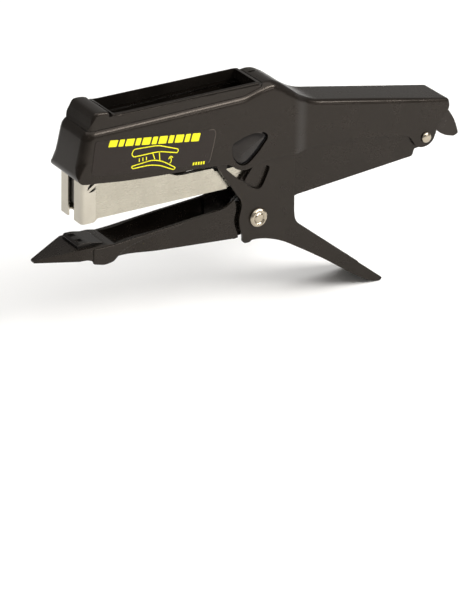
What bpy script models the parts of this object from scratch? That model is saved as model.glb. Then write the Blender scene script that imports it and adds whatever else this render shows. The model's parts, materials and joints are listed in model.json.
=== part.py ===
"""Plier stapler: jaw frame, crossed lower lever, hollow body with handle, hinged magazine, pusher.

Side view: nose toward -X, handles toward +X, +Z up, width along Y.
All driving dimensions are in millimetres and scaled once by MM.
"""
import bpy
import bmesh
from math import pi, sin, cos, radians, hypot

MM = 0.001
SX, SZ = -2.0, 63.2          # shift of the side profile, so the part stands on z = 0 and is centred

GAP = 0.3                     # running and seating clearance

# widths (half values, from the mid plane)
W_BODY, T_BODY = 16.3, 1.7    # box part of the hollow body: outer half width and wall
W_HANDLE = 13.8               # handle part of the hollow body
STEP_X0, STEP_X1 = 22.0, 34.0 # where the box narrows to the handle
W_LEVER, T_LEVER = 13.8, 1.6  # lever side plates
T_JAW = 1.7
W_JAW = W_LEVER - T_LEVER - GAP  # jaw walls and tail plates, between the lever plates
W_MAG, T_MAG = 11.5, 1.2      # magazine, front part
W_MAG_REAR = W_JAW - T_JAW - 0.4  # magazine, rear part, between the tail plates

# joint centres in the side view
MAIN = (0.0, 0.0)             # lever on jaw frame
REAR = (120.8, 27.0)          # body on jaw frame
MAGP = (37.0, 50.0)           # magazine on body
PIN = (-22.0, 48.0)           # thrust pin in the lever arms

# travel, in degrees
LEVER_TURN, BODY_TURN, MAG_TURN = 30.0, 5.0, 2.9

# rivets, pins
R_MAIN, R_MAIN_HEAD = 4.0, 6.1
R_REAR, R_REAR_HEAD = 2.4, 3.4
R_PIN, R_MAGP = 3.0, 2.2
HOLE = 0.1                    # radial clearance of every hole

# magazine and pusher
NOSE_X, NOSE_Z = -120.5, 21.0
MAG_Z0, MAG_FLOOR = 22.4, 1.2
CORE_W, CORE_TOP = 5.4, 30.4
PUSH_L, PUSH_W, PUSH_TOP = 14.0, 7.4, 34.6
PUSH_X = -114.0               # front face of the pusher, at rest
ROD_Z, R_ROD = 27.6, 1.0
MAG_END = 41.0

# loading opening and its raised rim
OPEN_X0, OPEN_X1, OPEN_W = -99.8, -2.8, 11.8
RIM_W, RIM_X0, RIM_X1 = 14.1, -117.0, 1.0
TOP_A, TOP_B = (-112.0, 80.0), (6.0, 82.2)
ROOF = 3.0                    # roof thickness
SEAT = 1.3                    # depth of the rim's seat in the roof


def clear_scene():
    for ob in list(bpy.data.objects):
        bpy.data.objects.remove(ob, do_unlink=True)


def material(name, rgb, metallic, rough):
    m = bpy.data.materials.new(name)
    m.use_nodes = True
    p = m.node_tree.nodes["Principled BSDF"]
    p.inputs["Base Color"].default_value = (*rgb, 1.0)
    p.inputs["Metallic"].default_value = metallic
    p.inputs["Roughness"].default_value = rough
    return m


def place(x, y, z):
    return ((x + SX) * MM, y * MM, (z + SZ) * MM)


def mesh_object(name, verts, faces, mat=None):
    me = bpy.data.meshes.new(name)
    me.from_pydata([place(*v) for v in verts], [], faces)
    bm = bmesh.new()
    bm.from_mesh(me)
    bmesh.ops.remove_doubles(bm, verts=bm.verts, dist=1e-7)
    bmesh.ops.recalc_face_normals(bm, faces=bm.faces)
    bm.to_mesh(me)
    bm.free()
    ob = bpy.data.objects.new(name, me)
    bpy.context.scene.collection.objects.link(ob)
    if mat:
        me.materials.append(mat)
    return ob


def prism(name, outline, y0, y1, mat=None):
    """Side outline (x, z) extruded from y0 to y1."""
    n = len(outline)
    verts = [(x, y0, z) for x, z in outline] + [(x, y1, z) for x, z in outline]
    faces = [list(range(n)), list(range(2 * n - 1, n - 1, -1))]
    faces += [[i, i + n, (i + 1) % n + n, (i + 1) % n] for i in range(n)]
    return mesh_object(name, verts, faces, mat)


def plan_prism(name, outline, z0, z1, mat=None):
    """Plan outline (x, y) extruded from z0 to z1."""
    n = len(outline)
    verts = [(x, y, z0) for x, y in outline] + [(x, y, z1) for x, y in outline]
    faces = [list(range(n)), list(range(2 * n - 1, n - 1, -1))]
    faces += [[i, i + n, (i + 1) % n + n, (i + 1) % n] for i in range(n)]
    return mesh_object(name, verts, faces, mat)


def box(name, x0, x1, y0, y1, z0, z1, mat=None):
    return prism(name, [(x0, z0), (x1, z0), (x1, z1), (x0, z1)], y0, y1, mat)


def turned(name, centre, profile, mat=None, seg=40):
    """Closed profile of (y, r) pairs turned about the Y line through centre."""
    cx, cz = centre
    verts, rings, faces = [], [], []
    for y, r in profile:
        if r < 1e-6:
            rings.append([len(verts)])
            verts.append((cx, y, cz))
        else:
            rings.append(list(range(len(verts), len(verts) + seg)))
            verts += [(cx + r * cos(2 * pi * k / seg), y, cz + r * sin(2 * pi * k / seg))
                      for k in range(seg)]
    pairs = list(zip(rings[:-1], rings[1:]))
    if len(rings[0]) > 1:
        pairs.append((rings[-1], rings[0]))
    for a, b in pairs:
        for k in range(seg):
            k2 = (k + 1) % seg
            if len(a) == 1 and len(b) > 1:
                faces.append([a[0], b[k], b[k2]])
            elif len(b) == 1 and len(a) > 1:
                faces.append([a[k], a[k2], b[0]])
            elif len(a) > 1:
                faces.append([a[k], a[k2], b[k2], b[k]])
    return mesh_object(name, verts, faces, mat)


def disc(name, centre, r, y0, y1, mat=None, seg=32):
    return turned(name, centre, [(y0, 0), (y0, r), (y1, r), (y1, 0)], mat, seg)


def boolean(target, tool, kind):
    tool.hide_render = True
    tool.display_type = 'WIRE'
    mod = target.modifiers.new(kind, 'BOOLEAN')
    mod.operation = kind
    mod.solver = 'EXACT'
    mod.object = tool
    dg = bpy.context.evaluated_depsgraph_get()
    me = bpy.data.meshes.new_from_object(target.evaluated_get(dg))
    old = target.data
    target.modifiers.clear()
    target.data = me
    bpy.data.meshes.remove(old)
    bpy.data.objects.remove(tool, do_unlink=True)
    return target


def cut(target, *tools):
    for t in tools:
        boolean(target, t, 'DIFFERENCE')
    return target


def join(target, *tools):
    for t in tools:
        boolean(target, t, 'UNION')
    return target


def tidy(ob, dist=2e-6):
    bm = bmesh.new()
    bm.from_mesh(ob.data)
    bmesh.ops.remove_doubles(bm, verts=bm.verts, dist=dist)
    bmesh.ops.dissolve_degenerate(bm, edges=bm.edges, dist=dist)
    bmesh.ops.recalc_face_normals(bm, faces=bm.faces)
    bm.to_mesh(ob.data)
    bm.free()
    return ob


def soften(ob, width, pick, seg=3):
    """Round the edges chosen by pick(a, b) with both end points in millimetres."""
    bm = bmesh.new()
    bm.from_mesh(ob.data)

    def mm(v):
        return (v.co.x / MM - SX, v.co.y / MM, v.co.z / MM - SZ)

    edges = [e for e in bm.edges if pick(mm(e.verts[0]), mm(e.verts[1]))]
    bmesh.ops.bevel(bm, geom=edges, offset=width * MM, segments=seg, affect='EDGES',
                    profile=0.5, clamp_overlap=True)
    bmesh.ops.recalc_face_normals(bm, faces=bm.faces)
    bm.to_mesh(ob.data)
    bm.free()
    return ob


def arc(c, r, a0, a1, n=8):
    return [(c[0] + r * cos(radians(a0 + (a1 - a0) * k / n)),
             c[1] + r * sin(radians(a0 + (a1 - a0) * k / n))) for k in range(n + 1)]


def ribbon(points, t):
    """Strip of thickness t on the left side of an open path of (x, z) points."""
    inner = []
    for i, p in enumerate(points):
        a, b = points[max(i - 1, 0)], points[min(i + 1, len(points) - 1)]
        d = hypot(b[0] - a[0], b[1] - a[1])
        inner.append((p[0] - (b[1] - a[1]) / d * t, p[1] + (b[0] - a[0]) / d * t))
    return points + inner[::-1]


def tube_along(name, path, r, mat, seg=8):
    """Round wire through 3-D points (mm)."""
    from mathutils import Vector
    pts = [Vector(p) for p in path]
    verts, faces = [], []
    up = None
    for i, p in enumerate(pts):
        t = (pts[min(i + 1, len(pts) - 1)] - pts[max(i - 1, 0)]).normalized()
        if up is None:
            up = Vector((0, 1, 0)) if abs(t.y) < 0.9 else Vector((1, 0, 0))
        up = (up - t * up.dot(t)).normalized()
        side = t.cross(up)
        for k in range(seg):
            a = 2 * pi * k / seg
            q = p + (up * cos(a) + side * sin(a)) * r
            verts.append(tuple(q))
    for i in range(len(pts) - 1):
        for k in range(seg):
            k2 = (k + 1) % seg
            faces.append([i * seg + k, i * seg + k2, (i + 1) * seg + k2, (i + 1) * seg + k])
    faces.append(list(range(seg)))
    last = (len(pts) - 1) * seg
    faces.append([last + k for k in range(seg - 1, -1, -1)])
    return mesh_object(name, verts, faces, mat)


# ---------------------------------------------------------------- outlines
def top_z(x):
    f = (x - TOP_A[0]) / (TOP_B[0] - TOP_A[0])
    return TOP_A[1] + f * (TOP_B[1] - TOP_A[1])


BODY = [(-124.6, 50.2), (-125.2, 52.6), (-123.2, 62.0), (-120.8, 73.0), (-119.6, 77.6),
        (-118.6, 79.2), (-116.8, 79.9), TOP_A, (-60.0, top_z(-60.0)), (0.0, top_z(0.0)),
        (7.0, 81.8), (12.0, 80.2), (17.0, 77.2), (24.0, 72.6), (29.0, 69.8), (35.0, 68.2),
        (80.0, 60.0), (133.0, 50.0), (136.6, 49.0), (137.9, 46.1), (136.5, 42.0),
        (128.8, 32.2), (128.2, 28.6), (126.2, 23.6), (122.6, 21.2), (118.0, 20.7),
        (113.8, 22.2), (110.4, 27.6), (108.0, 30.2), (104.4, 31.4), (86.6, 34.3), (63.2, 37.8),
        (47.1, 38.4), (34.5, 37.6), (24.0, 36.7), (8.0, 37.4), (-1.9, 37.2), (-6.0, 35.0),
        (-11.1, 33.9), (-16.5, 35.0), (-20.6, 38.2), (-24.6, 40.6), (-54.0, 42.2),
        (-84.6, 43.9), (-100.7, 45.4), (-112.7, 47.0), (-118.6, 47.4), (-122.4, 48.4)]

HUMP = [(-8.0, 70.0), (-8.0, 86.0), (0.0, 86.6), (6.0, 86.3), (12.0, 83.8), (20.0, 78.4),
        (28.0, 72.8), (34.0, 68.4), (34.0, 66.0)]

CAVITY = [(-123.2, 10.0), (-123.2, 53.4), (-121.4, 62.2), (-118.9, 73.4), (-117.6, 76.2),
          (-115.4, TOP_A[1] - ROOF), (0.0, top_z(0.0) - ROOF), (6.0, 78.6), (11.0, 77.0),
          (16.0, 74.2), (23.0, 69.8), (28.4, 66.9), (34.6, 65.4), (79.7, 57.3), (132.0, 47.6),
          (135.2, 46.9), (150.0, 43.0), (150.0, 10.0)]

LEVER = ([(-33.4, 47.0), (-31.8, 41.8), (-28.8, 37.2), (-24.8, 31.4), (-20.6, 25.8), (-16.6, 19.6),
          (-12.6, 13.0), (-11.6, 9.0), (-13.2, 1.2), (-12.4, -4.6), (-10.0, -11.8), (-9.6, -14.4),
          (-7.6, -15.2), (-4.8, -15.0), (-3.6, -13.9), (0.5, -14.2), (6.0, -15.2),
          (13.0, -17.4), (20.0, -20.6), (35.0, -29.8), (50.7, -39.8), (65.0, -49.9),
          (79.9, -59.4), (87.1, -62.7), (91.3, -63.2), (93.1, -61.4), (60.0, -35.2),
          (29.4, -10.9), (26.8, -7.4), (25.9, -2.0), (25.6, 8.7), (25.0, 36.0), (22.0, 40.5),
          (-3.6, 40.0), (-4.5, 34.2), (-10.2, 26.2), (-9.3, 24.6), (-6.4, 23.0), (-1.8, 22.2),
          (-0.2, 25.4), (2.5, 32.2), (4.4, 33.0), (6.6, 32.4), (7.4, 30.6), (5.0, 24.8),
          (2.5, 19.6), (0.6, 18.3), (-2.0, 18.7), (-6.5, 21.2), (-10.6, 24.7), (-13.6, 27.0),
          (-19.0, 31.9), (-23.2, 35.8), (-22.2, 38.8), (-17.4, 42.2)]
         + arc(PIN, 6.6, -35, 160, 13))

LEVER_FOLD = [(-1.2, -14.0), (0.5, -14.2), (6.0, -15.2), (13.0, -17.4), (20.0, -20.6),
              (35.0, -29.8), (50.7, -39.8), (65.0, -49.9), (79.9, -59.4), (87.1, -62.7),
              (91.3, -63.2)]

PLATE = [(-30.0, -8.8), (-30.0, 9.0), (-22.3, 9.7), (-16.6, 13.0), (-13.6, 18.0), (-13.0, 25.4),
         (-7.6, 31.8), (-5.0, 34.6), (-2.0, 39.4), (49.0, 39.4), (58.0, 42.0), (96.0, 40.6), (112.0, 36.0),
         (120.8, 33.6), (126.0, 31.0), (127.0, 26.4), (125.0, 22.6), (120.0, 20.8),
         (113.9, 20.3), (112.3, 15.7), (70.0, 11.8), (26.8, 7.9), (20.0, 0.5), (10.2, -7.8),
         (2.0, -10.0), (-8.0, -10.6), (-15.2, -11.6)]

JAW_WALL = [(-104.0, -7.6), (-104.0, 2.6), (-98.0, 3.2), (-85.2, 4.3), (-52.5, 7.2),
            (-29.0, 9.1), (-29.0, -10.3), (-98.8, -4.6)]

JAW_FLOOR = [(-100.0, -4.8), (-60.0, -8.0), (-15.2, -11.6)]

JAW_NOSE = [(-146.0, -0.6), (-146.0, -2.0), (-117.0, -2.6), (-113.6, -3.4), (-110.0, -6.6),
            (-104.6, -8.4), (-98.2, -7.4), (-95.4, -4.9), (-96.6, 3.3), (-103.0, 4.6),
            (-122.0, 4.6), (-126.0, 3.8), (-136.0, 1.6)]

TEAR = [(-21.6, 48.3), (-21.5, 51.3), (-19.4, 53.2), (-11.1, 56.0), (-3.0, 56.6), (1.6, 55.6),
        (3.9, 53.4), (3.5, 50.8), (-3.0, 43.0), (-9.0, 37.6), (-13.0, 36.9), (-17.0, 38.8),
        (-20.2, 43.2)]


def shrink(outline, d):
    """Outline moved inward by d (outline given in either sense)."""
    n = len(outline)
    area = sum(outline[i][0] * outline[(i + 1) % n][1] - outline[(i + 1) % n][0] * outline[i][1]
               for i in range(n))
    s = 1 if area > 0 else -1
    out = []
    for i in range(n):
        a, p, b = outline[i - 1], outline[i], outline[(i + 1) % n]
        n1 = (-(p[1] - a[1]) * s, (p[0] - a[0]) * s)
        n2 = (-(b[1] - p[1]) * s, (b[0] - p[0]) * s)
        l1, l2 = hypot(*n1), hypot(*n2)
        m = (n1[0] / l1 + n2[0] / l2, n1[1] / l1 + n2[1] / l2)
        k = 2 * d / (m[0] ** 2 + m[1] ** 2)
        out.append((p[0] + m[0] * k, p[1] + m[1] * k))
    return out


# ---------------------------------------------------------------- jaw frame (root)
def build_jaw(mat):
    jaw = prism("jaw_frame", JAW_NOSE, -W_JAW, W_JAW, mat)
    wedge = 40.0
    left = plan_prism("c", [(-150, -wedge), (-121, -wedge), (-121, -W_JAW - 0.001),
                            (-146.2, -1.6), (-150, -1.6)], -20, 20)
    right = plan_prism("c", [(-150, wedge), (-121, wedge), (-121, W_JAW + 0.001),
                             (-146.2, 1.6), (-150, 1.6)], -20, 20)
    cut(jaw, left, right)
    for s in (-1, 1):
        a, b = sorted((s * (W_JAW - T_JAW), s * W_JAW))
        join(jaw, prism("w", JAW_WALL, a, b), prism("p", PLATE, a, b))
    join(jaw, prism("f", ribbon(JAW_FLOOR, 1.6), -W_JAW + 0.4, W_JAW - 0.4))
    cut(jaw, disc("h", MAIN, R_MAIN + HOLE, -20, 20), disc("h", REAR, R_REAR + HOLE, -20, 20))
    # seat for the anvil
    cut(jaw, box("c", -121.3, -103.7, -9.3, 9.3, 3.4, 9))
    return tidy(jaw)


def build_anvil(mat):
    a = prism("anvil", [(-121.0, 3.7), (-121.0, 6.2), (-120.2, 7.4), (-115.4, 7.4),
                        (-104.0, 5.0), (-104.0, 3.7)], -9.0, 9.0, mat)
    for y in (-4.2, 4.2):
        cut(a, prism("c", [(-119.6, 6.6), (-119.0, 6.3), (-116.8, 6.3), (-116.0, 6.6),
                           (-115.4, 8.4), (-120.4, 8.4)], y - 2.0, y + 2.0))
    return tidy(a)


def build_main_rivet(mat):
    y1 = W_LEVER + GAP
    return turned("main_rivet", MAIN,
                  [(-y1 - 2.0, 0), (-y1 - 2.0, 2.4), (-y1 - 1.7, 3.0), (-y1 - 1.9, 4.2),
                   (-y1 - 1.5, 5.4), (-y1 - 0.7, R_MAIN_HEAD), (-y1, R_MAIN_HEAD),
                   (-y1, R_MAIN), (y1, R_MAIN), (y1, R_MAIN_HEAD), (y1 + 0.6, R_MAIN_HEAD),
                   (y1 + 1.3, 5.2), (y1 + 1.8, 3.6), (y1 + 2.05, 1.8), (y1 + 2.1, 0)], mat)


def build_rear_rivet(mat):
    y1 = W_HANDLE + GAP
    side = [(y1, R_REAR), (y1, R_REAR_HEAD), (y1 + 0.5, R_REAR_HEAD), (y1 + 1.1, 2.8),
            (y1 + 1.5, 1.7), (y1 + 1.65, 0)]
    prof = [(-y, r) for y, r in side[::-1]] + side
    return turned("rear_rivet", REAR, prof, mat, 32)


def sleeve(name, centre, r0, r1, half, mat):
    return turned(name, centre, [(-half, r0), (-half, r1), (half, r1), (half, r0)], mat, 32)


def coil(name, centre, r, wire, half, turns, leg_a, leg_b, mat):
    """Torsion spring about a Y line: two tangent legs and an even coil."""
    cx, cz = centre
    a0 = radians(leg_a[0])
    a1 = radians(leg_b[0])
    total = 2 * pi * turns + (a1 - a0)
    n = int(turns * 18)
    pts = []
    for k in range(n + 1):
        f = k / n
        a = a0 + total * f
        pts.append((cx + r * cos(a), -half + 2 * half * f, cz + r * sin(a)))
    t0 = (sin(a0), -cos(a0))
    t1 = (-sin(a1), cos(a1))
    start = (pts[0][0] + t0[0] * leg_a[1], pts[0][1], pts[0][2] + t0[1] * leg_a[1])
    end = (pts[-1][0] + t1[0] * leg_b[1], pts[-1][1], pts[-1][2] + t1[1] * leg_b[1])
    return tube_along(name, [start] + pts + [end], wire / 2, mat, 8)


# ---------------------------------------------------------------- lower lever
def build_lever(mat):
    lever = None
    for s in (-1, 1):
        a, b = sorted((s * (W_LEVER - T_LEVER), s * W_LEVER))
        p = prism("lower_lever" if lever is None else "p", LEVER, a, b, mat)
        lever = p if lever is None else join(lever, p)
    join(lever, prism("f", ribbon(LEVER_FOLD, T_LEVER), -W_LEVER + 0.2, W_LEVER - 0.2))
    cut(lever, disc("h", MAIN, R_MAIN + HOLE, -20, 20), disc("h", PIN, R_PIN - 0.4 + HOLE, -20, 20))
    tidy(lever)
    soften(lever, 1.6, lambda p, q: abs(abs(p[1]) - W_LEVER) < 0.01 and
           abs(abs(q[1]) - W_LEVER) < 0.01 and min(p[0], q[0]) > 0.0 and max(p[2], q[2]) < -13.9
           and p[0] < 88 and q[0] < 88 and on_path(p, LEVER_FOLD) and on_path(q, LEVER_FOLD), 3)
    return tidy(lever)


def on_path(p, path):
    return min(hypot(p[0] - a[0], p[2] - a[1]) for a in path) < 0.05


def build_thrust_pin(mat):
    e = W_LEVER + 0.3
    i = W_LEVER - T_LEVER - GAP
    r1 = R_PIN - 0.4
    return turned("thrust_pin", PIN, [(-e, 0), (-e, r1), (-i, r1), (-i, R_PIN), (i, R_PIN),
                                      (i, r1), (e, r1), (e, 0)], mat, 32)


# ---------------------------------------------------------------- hollow body and what it carries
def narrow(ob, w_box, w_handle):
    """Draw the side faces in where the box passes into the handle."""
    for v in ob.data.vertices:
        x, y = v.co.x / MM - SX, v.co.y / MM
        f = min(max((x - STEP_X0) / (STEP_X1 - STEP_X0), 0.0), 1.0)
        f = f * f * (3 - 2 * f)
        if abs(y) > w_handle * 0.6:
            lost = (w_box - w_handle) * f
            v.co.y = (y - lost if y > 0 else y + lost) * MM
    return ob


def slices(outline, xs):
    """Outline with extra points where it crosses each x, so that it can be narrowed."""
    out = []
    for i, p in enumerate(outline):
        q = outline[(i + 1) % len(outline)]
        out.append(p)
        hits = sorted((x for x in xs if min(p[0], q[0]) + 0.3 < x < max(p[0], q[0]) - 0.3),
                      reverse=q[0] < p[0])
        out += [(x, p[1] + (q[1] - p[1]) * (x - p[0]) / (q[0] - p[0])) for x in hits]
    return out


def strip_prism(name, outline, half, mat=None):
    """Prism whose side faces are cut into strips at every x of the narrowing."""
    ob = prism(name, outline, -half, half, mat)
    bm = bmesh.new()
    bm.from_mesh(ob.data)
    for x in STEPS:
        bmesh.ops.bisect_plane(bm, geom=bm.verts[:] + bm.edges[:] + bm.faces[:], dist=1e-7,
                               plane_co=((x + SX) * MM, 0, 0), plane_no=(1, 0, 0))
    bm.to_mesh(ob.data)
    bm.free()
    return ob


STEPS = [STEP_X0 + (STEP_X1 - STEP_X0) * k / 6 for k in range(7)]


def upper_edges(half, z_low):
    def pick(p, q):
        return (abs(abs(p[1]) - half) < 0.01 and abs(p[1] - q[1]) < 0.01 and
                above_split(p) and above_split(q) and min(p[2], q[2]) > z_low)
    return pick


def above_split(p):
    """Above the line that parts the top and front edges of the body from its lower edge."""
    x, z = p[0], p[2]
    if x < -110.0:
        return z > 50.0
    return z > (62.0 if x < 30.0 else 62.0 - (x - 30.0) * 0.19)


def build_body(mat):
    body = strip_prism("body_shell", BODY, W_BODY, mat)
    soften(body, 4.6, upper_edges(W_BODY, 40.0), 4)
    narrow(body, W_BODY, W_HANDLE)
    hump = prism("h", HUMP, -13.2, 13.2)
    soften(hump, 3.6, lambda p, q: abs(p[1] - q[1]) < 0.01 and min(p[2], q[2]) > 66.1 and
           max(p[0], q[0]) > -7.9, 3)
    join(body, hump)
    inner = strip_prism("cav", CAVITY, W_BODY - T_BODY)
    soften(inner, 3.4, lambda p, q: abs(abs(p[1]) - W_BODY + T_BODY) < 0.01 and
           abs(p[1] - q[1]) < 0.01 and above_split(p) and above_split(q), 2)
    narrow(inner, W_BODY - T_BODY, W_HANDLE - T_BODY)
    cut(body, inner)
    x0, x1 = RIM_X0 - 0.3, RIM_X1 + 0.3
    w = RIM_W + 0.3
    cut(body, prism("seat", [(x0, top_z(x0) - SEAT), (x1, top_z(x1) - SEAT), (x1, 110), (x0, 110)],
                    -w, w))
    cut(body, box("o", OPEN_X0 - 1.0, OPEN_X1 + 1.0, -OPEN_W - 0.7, OPEN_W + 0.7, 70, 100))
    blind = W_HANDLE - 0.8
    cut(body, disc("h", REAR, R_REAR + HOLE, -20, 20),
        disc("h", MAGP, R_MAGP + HOLE, -blind, blind))
    cut(body, prism("t", TEAR, -20, 20))
    return tidy(body)


RIM = [(-116.2, 88.0 - 7.6), (-113.9, 87.4), (-113.0, 88.8), (-111.4, 89.4), (-107.0, 89.1),
       (-101.0, 86.5), (-96.0, 86.3), (-2.0, 87.0), (0.4, 86.6), (RIM_X1, 85.6)]


def build_rim(mat):
    """Raised rim that lines the opening, with the taller block at its front."""
    z0, z1 = top_z(RIM_X0) - SEAT + GAP, top_z(RIM_X1) - SEAT + GAP
    rim = prism("loading_rim", [(RIM_X1, z1), (RIM_X0, z0), (RIM_X0, z0 + 1.6)] + RIM,
                -RIM_W, RIM_W, mat)
    soften(rim, 1.4, lambda p, q: abs(p[1] - q[1]) < 0.01 and abs(abs(p[1]) - RIM_W) < 0.01 and
           min(p[2], q[2]) > 80.3, 3)
    cut(rim, box("c", OPEN_X0, OPEN_X1, -OPEN_W, OPEN_W, 60, 110))
    return tidy(rim)


def build_pocket(name, side, mat):
    """Dished insert filling the teardrop window of one side wall."""
    outer = shrink(TEAR, 0.35)
    mid = shrink(TEAR, 1.6)
    n = len(outer)
    y_in, y_out, y_dish = W_BODY - T_BODY + 0.1, W_BODY - 0.25, W_BODY - 1.1
    cx = sum(p[0] for p in outer) / n
    cz = sum(p[1] for p in outer) / n
    verts = [(x, side * y_in, z) for x, z in outer] + [(x, side * y_out, z) for x, z in outer]
    verts += [(x, side * y_dish, z) for x, z in mid] + [(cx, side * (y_dish + 0.25), cz)]
    faces = [list(range(n))]
    for i in range(n):
        j = (i + 1) % n
        faces += [[i, j, j + n, i + n], [i + n, j + n, j + 2 * n, i + 2 * n],
                  [i + 2 * n, j + 2 * n, 3 * n]]
    return tidy(mesh_object(name, verts, faces, mat))


def turn(p, centre, deg):
    a = radians(deg)
    x, z = p[0] - centre[0], p[1] - centre[1]
    return (centre[0] + x * cos(a) - z * sin(a), centre[1] + x * sin(a) + z * cos(a))


def pin_in_body(f):
    """Where the thrust pin is, seen from the body, at fraction f of the squeeze."""
    return turn(turn(PIN, MAIN, LEVER_TURN * f), REAR, -BODY_TURN * f)


def slot_outline(clear):
    path = [pin_in_body(k / 10) for k in range(11)]
    r = R_PIN + clear
    lower, upper = [], []
    for i, p in enumerate(path):
        a, b = path[max(i - 1, 0)], path[min(i + 1, 10)]
        d = hypot(b[0] - a[0], b[1] - a[1])
        n = (-(b[1] - a[1]) / d, (b[0] - a[0]) / d)
        lower.append((p[0] + n[0] * r, p[1] + n[1] * r))
        upper.append((p[0] - n[0] * r, p[1] - n[1] * r))
    start = arc(path[0], r, 90, -90, 8)[1:-1]
    end = arc(path[-1], r, 280, 105, 8)[1:-1]
    return start + lower + end + upper[::-1]


def build_saddle(mat):
    """Two slotted plates hung from the roof; the thrust pin runs in the slots."""
    plate = [(-48.6, 38.4), (4.0, 39.0), (8.0, 43.0), (8.0, 66.0), (-2.0, 66.0), (-12.0, 55.0),
             (-44.0, 54.0), (-48.6, 49.0)]
    saddle = None
    for s in (-1, 1):
        a, b = sorted((s * 8.6, s * 9.8))
        p = prism("thrust_saddle" if saddle is None else "p", plate, a, b, mat)
        saddle = p if saddle is None else join(saddle, p)
    join(saddle, box("w", 6.6, 7.98, -9.6, 9.6, 46.0, 76.0),
         prism("t", [(6.6, 75.2), (14.0, 71.0), (14.6, 72.4), (8.0, 76.6), (6.6, 77.2)], -9.4, 9.4))
    cut(saddle, prism("s", slot_outline(0.5), -20, 20))
    return tidy(saddle)


def build_driver(mat):
    return prism("driver_blade", [(-118.5, 29.8), (-117.5, 29.8), (-117.5, 72.0), (-118.5, 70.0)],
                 -6.2, 6.2, mat)


def build_clamp(mat):
    c = prism("driver_clamp", [(-117.2, 56.0), (-111.5, 56.0), (-110.0, 59.0), (-110.0, 74.0),
                               (-116.0, 74.0), (-117.2, 71.0)], -10.0, 10.0, mat)
    cut(c, disc_x("h", (0, 65.0), 2.3, -130, -100))
    return tidy(c)


def disc_x(name, yz, r, x0, x1, mat=None, seg=28):
    verts, faces = [], []
    for x in (x0, x1):
        verts += [(x, yz[0] + r * cos(2 * pi * k / seg), yz[1] + r * sin(2 * pi * k / seg))
                  for k in range(seg)]
    faces = [list(range(seg)), list(range(2 * seg - 1, seg - 1, -1))]
    faces += [[k, k + seg, (k + 1) % seg + seg, (k + 1) % seg] for k in range(seg)]
    return mesh_object(name, verts, faces, mat)


def build_clamp_screw(mat):
    s = disc_x("clamp_screw", (0, 65.0), 2.0, -117.0, -109.7, mat)
    join(s, disc_x("h", (0, 65.0), 3.6, -109.7, -107.1))
    cut(s, box("c", -108.3, -106.5, -0.5, 0.5, 58, 73))
    return tidy(s)


def build_claw(mat):
    claw = prism("claw", [(125.0, 45.6), (133.0, 44.6), (138.6, 42.4), (143.7, 37.0),
                          (148.5, 29.7), (152.0, 20.2), (147.8, 19.3), (142.6, 23.3),
                          (136.8, 26.9), (132.0, 32.0), (128.6, 37.6), (125.0, 39.6)],
                 -5.2, 5.2, mat)
    cut(claw, plan_prism("v", [(142.0, 0.0), (160.0, -3.4), (160.0, 3.4)], 0, 60))
    return tidy(claw)


def build_label(mat):
    y = -W_BODY - 0.05
    return prism("label", [(-112.2, 71.0), (-115.2, 51.8), (-37.4, 43.0), (-34.8, 50.0),
                           (-32.6, 58.6), (-32.6, 63.6)], y - 0.25, y, mat)


def build_mag_pin(mat):
    e = W_HANDLE - 0.9
    return turned("magazine_pin", MAGP, [(-e, 0), (-e, R_MAGP), (e, R_MAGP), (e, 0)], mat, 28)


# ---------------------------------------------------------------- magazine
def build_magazine(mat):
    t, w, r = T_MAG, W_MAG, W_MAG_REAR
    z0 = MAG_Z0
    x0 = NOSE_X + 1.5
    front = [(x0, z0), (x0, 49.5), (-110.0, 49.0), (-72.0, 45.6), (-56.0, 37.8),
             (-31.2, 37.4), (-27.4, 30.8), (-22.4, 25.0), (-21.0, z0)]
    rear = [(-30.4, z0), (-30.4, 34.4), (24.0, 34.4), (31.6, 46.0)] + \
        arc(MAGP, 5.0, 180, -20, 8) + [(MAG_END, 44.0), (MAG_END, z0)]
    foot = [(x0, NOSE_Z), (x0, z0 + 1), (x0 + 10.8, z0 + 1), (x0 + 8.2, NOSE_Z)]
    mag = box("magazine", x0, -21.2, -w + 0.15, w - 0.15, z0, z0 + t, mat)
    cut(mag, box("x", x0 - 1.0, x0 + 3.6, -7.4, 7.4, 10, 40))
    join(mag, box("b", -30.2, MAG_END, -r + 0.15, r - 0.15, z0 + 0.02, z0 + t))
    for s in (-1, 1):
        a, b = sorted((s * (w - t), s * w))
        join(mag, prism("w", front, a, b), prism("q", foot, a, b))
        a, b = sorted((s * (r - t), s * r))
        join(mag, prism("w", rear, a, b))
        a, b = sorted((s * (r - t + 0.2), s * (w - 0.1)))
        join(mag, box("j", -30.1, -28.6, a, b, z0 + 0.1, 31.6))
    join(mag, box("e", MAG_END - 1.4, MAG_END - 0.02, -r + 0.15, r - 0.15, z0 + 0.05, 35.6))
    cut(mag, disc("h", MAGP, R_MAGP + HOLE, -20, 20), disc_x("h", (0, ROD_Z), R_ROD + 0.3, 30, 45))
    return tidy(mag)


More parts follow.
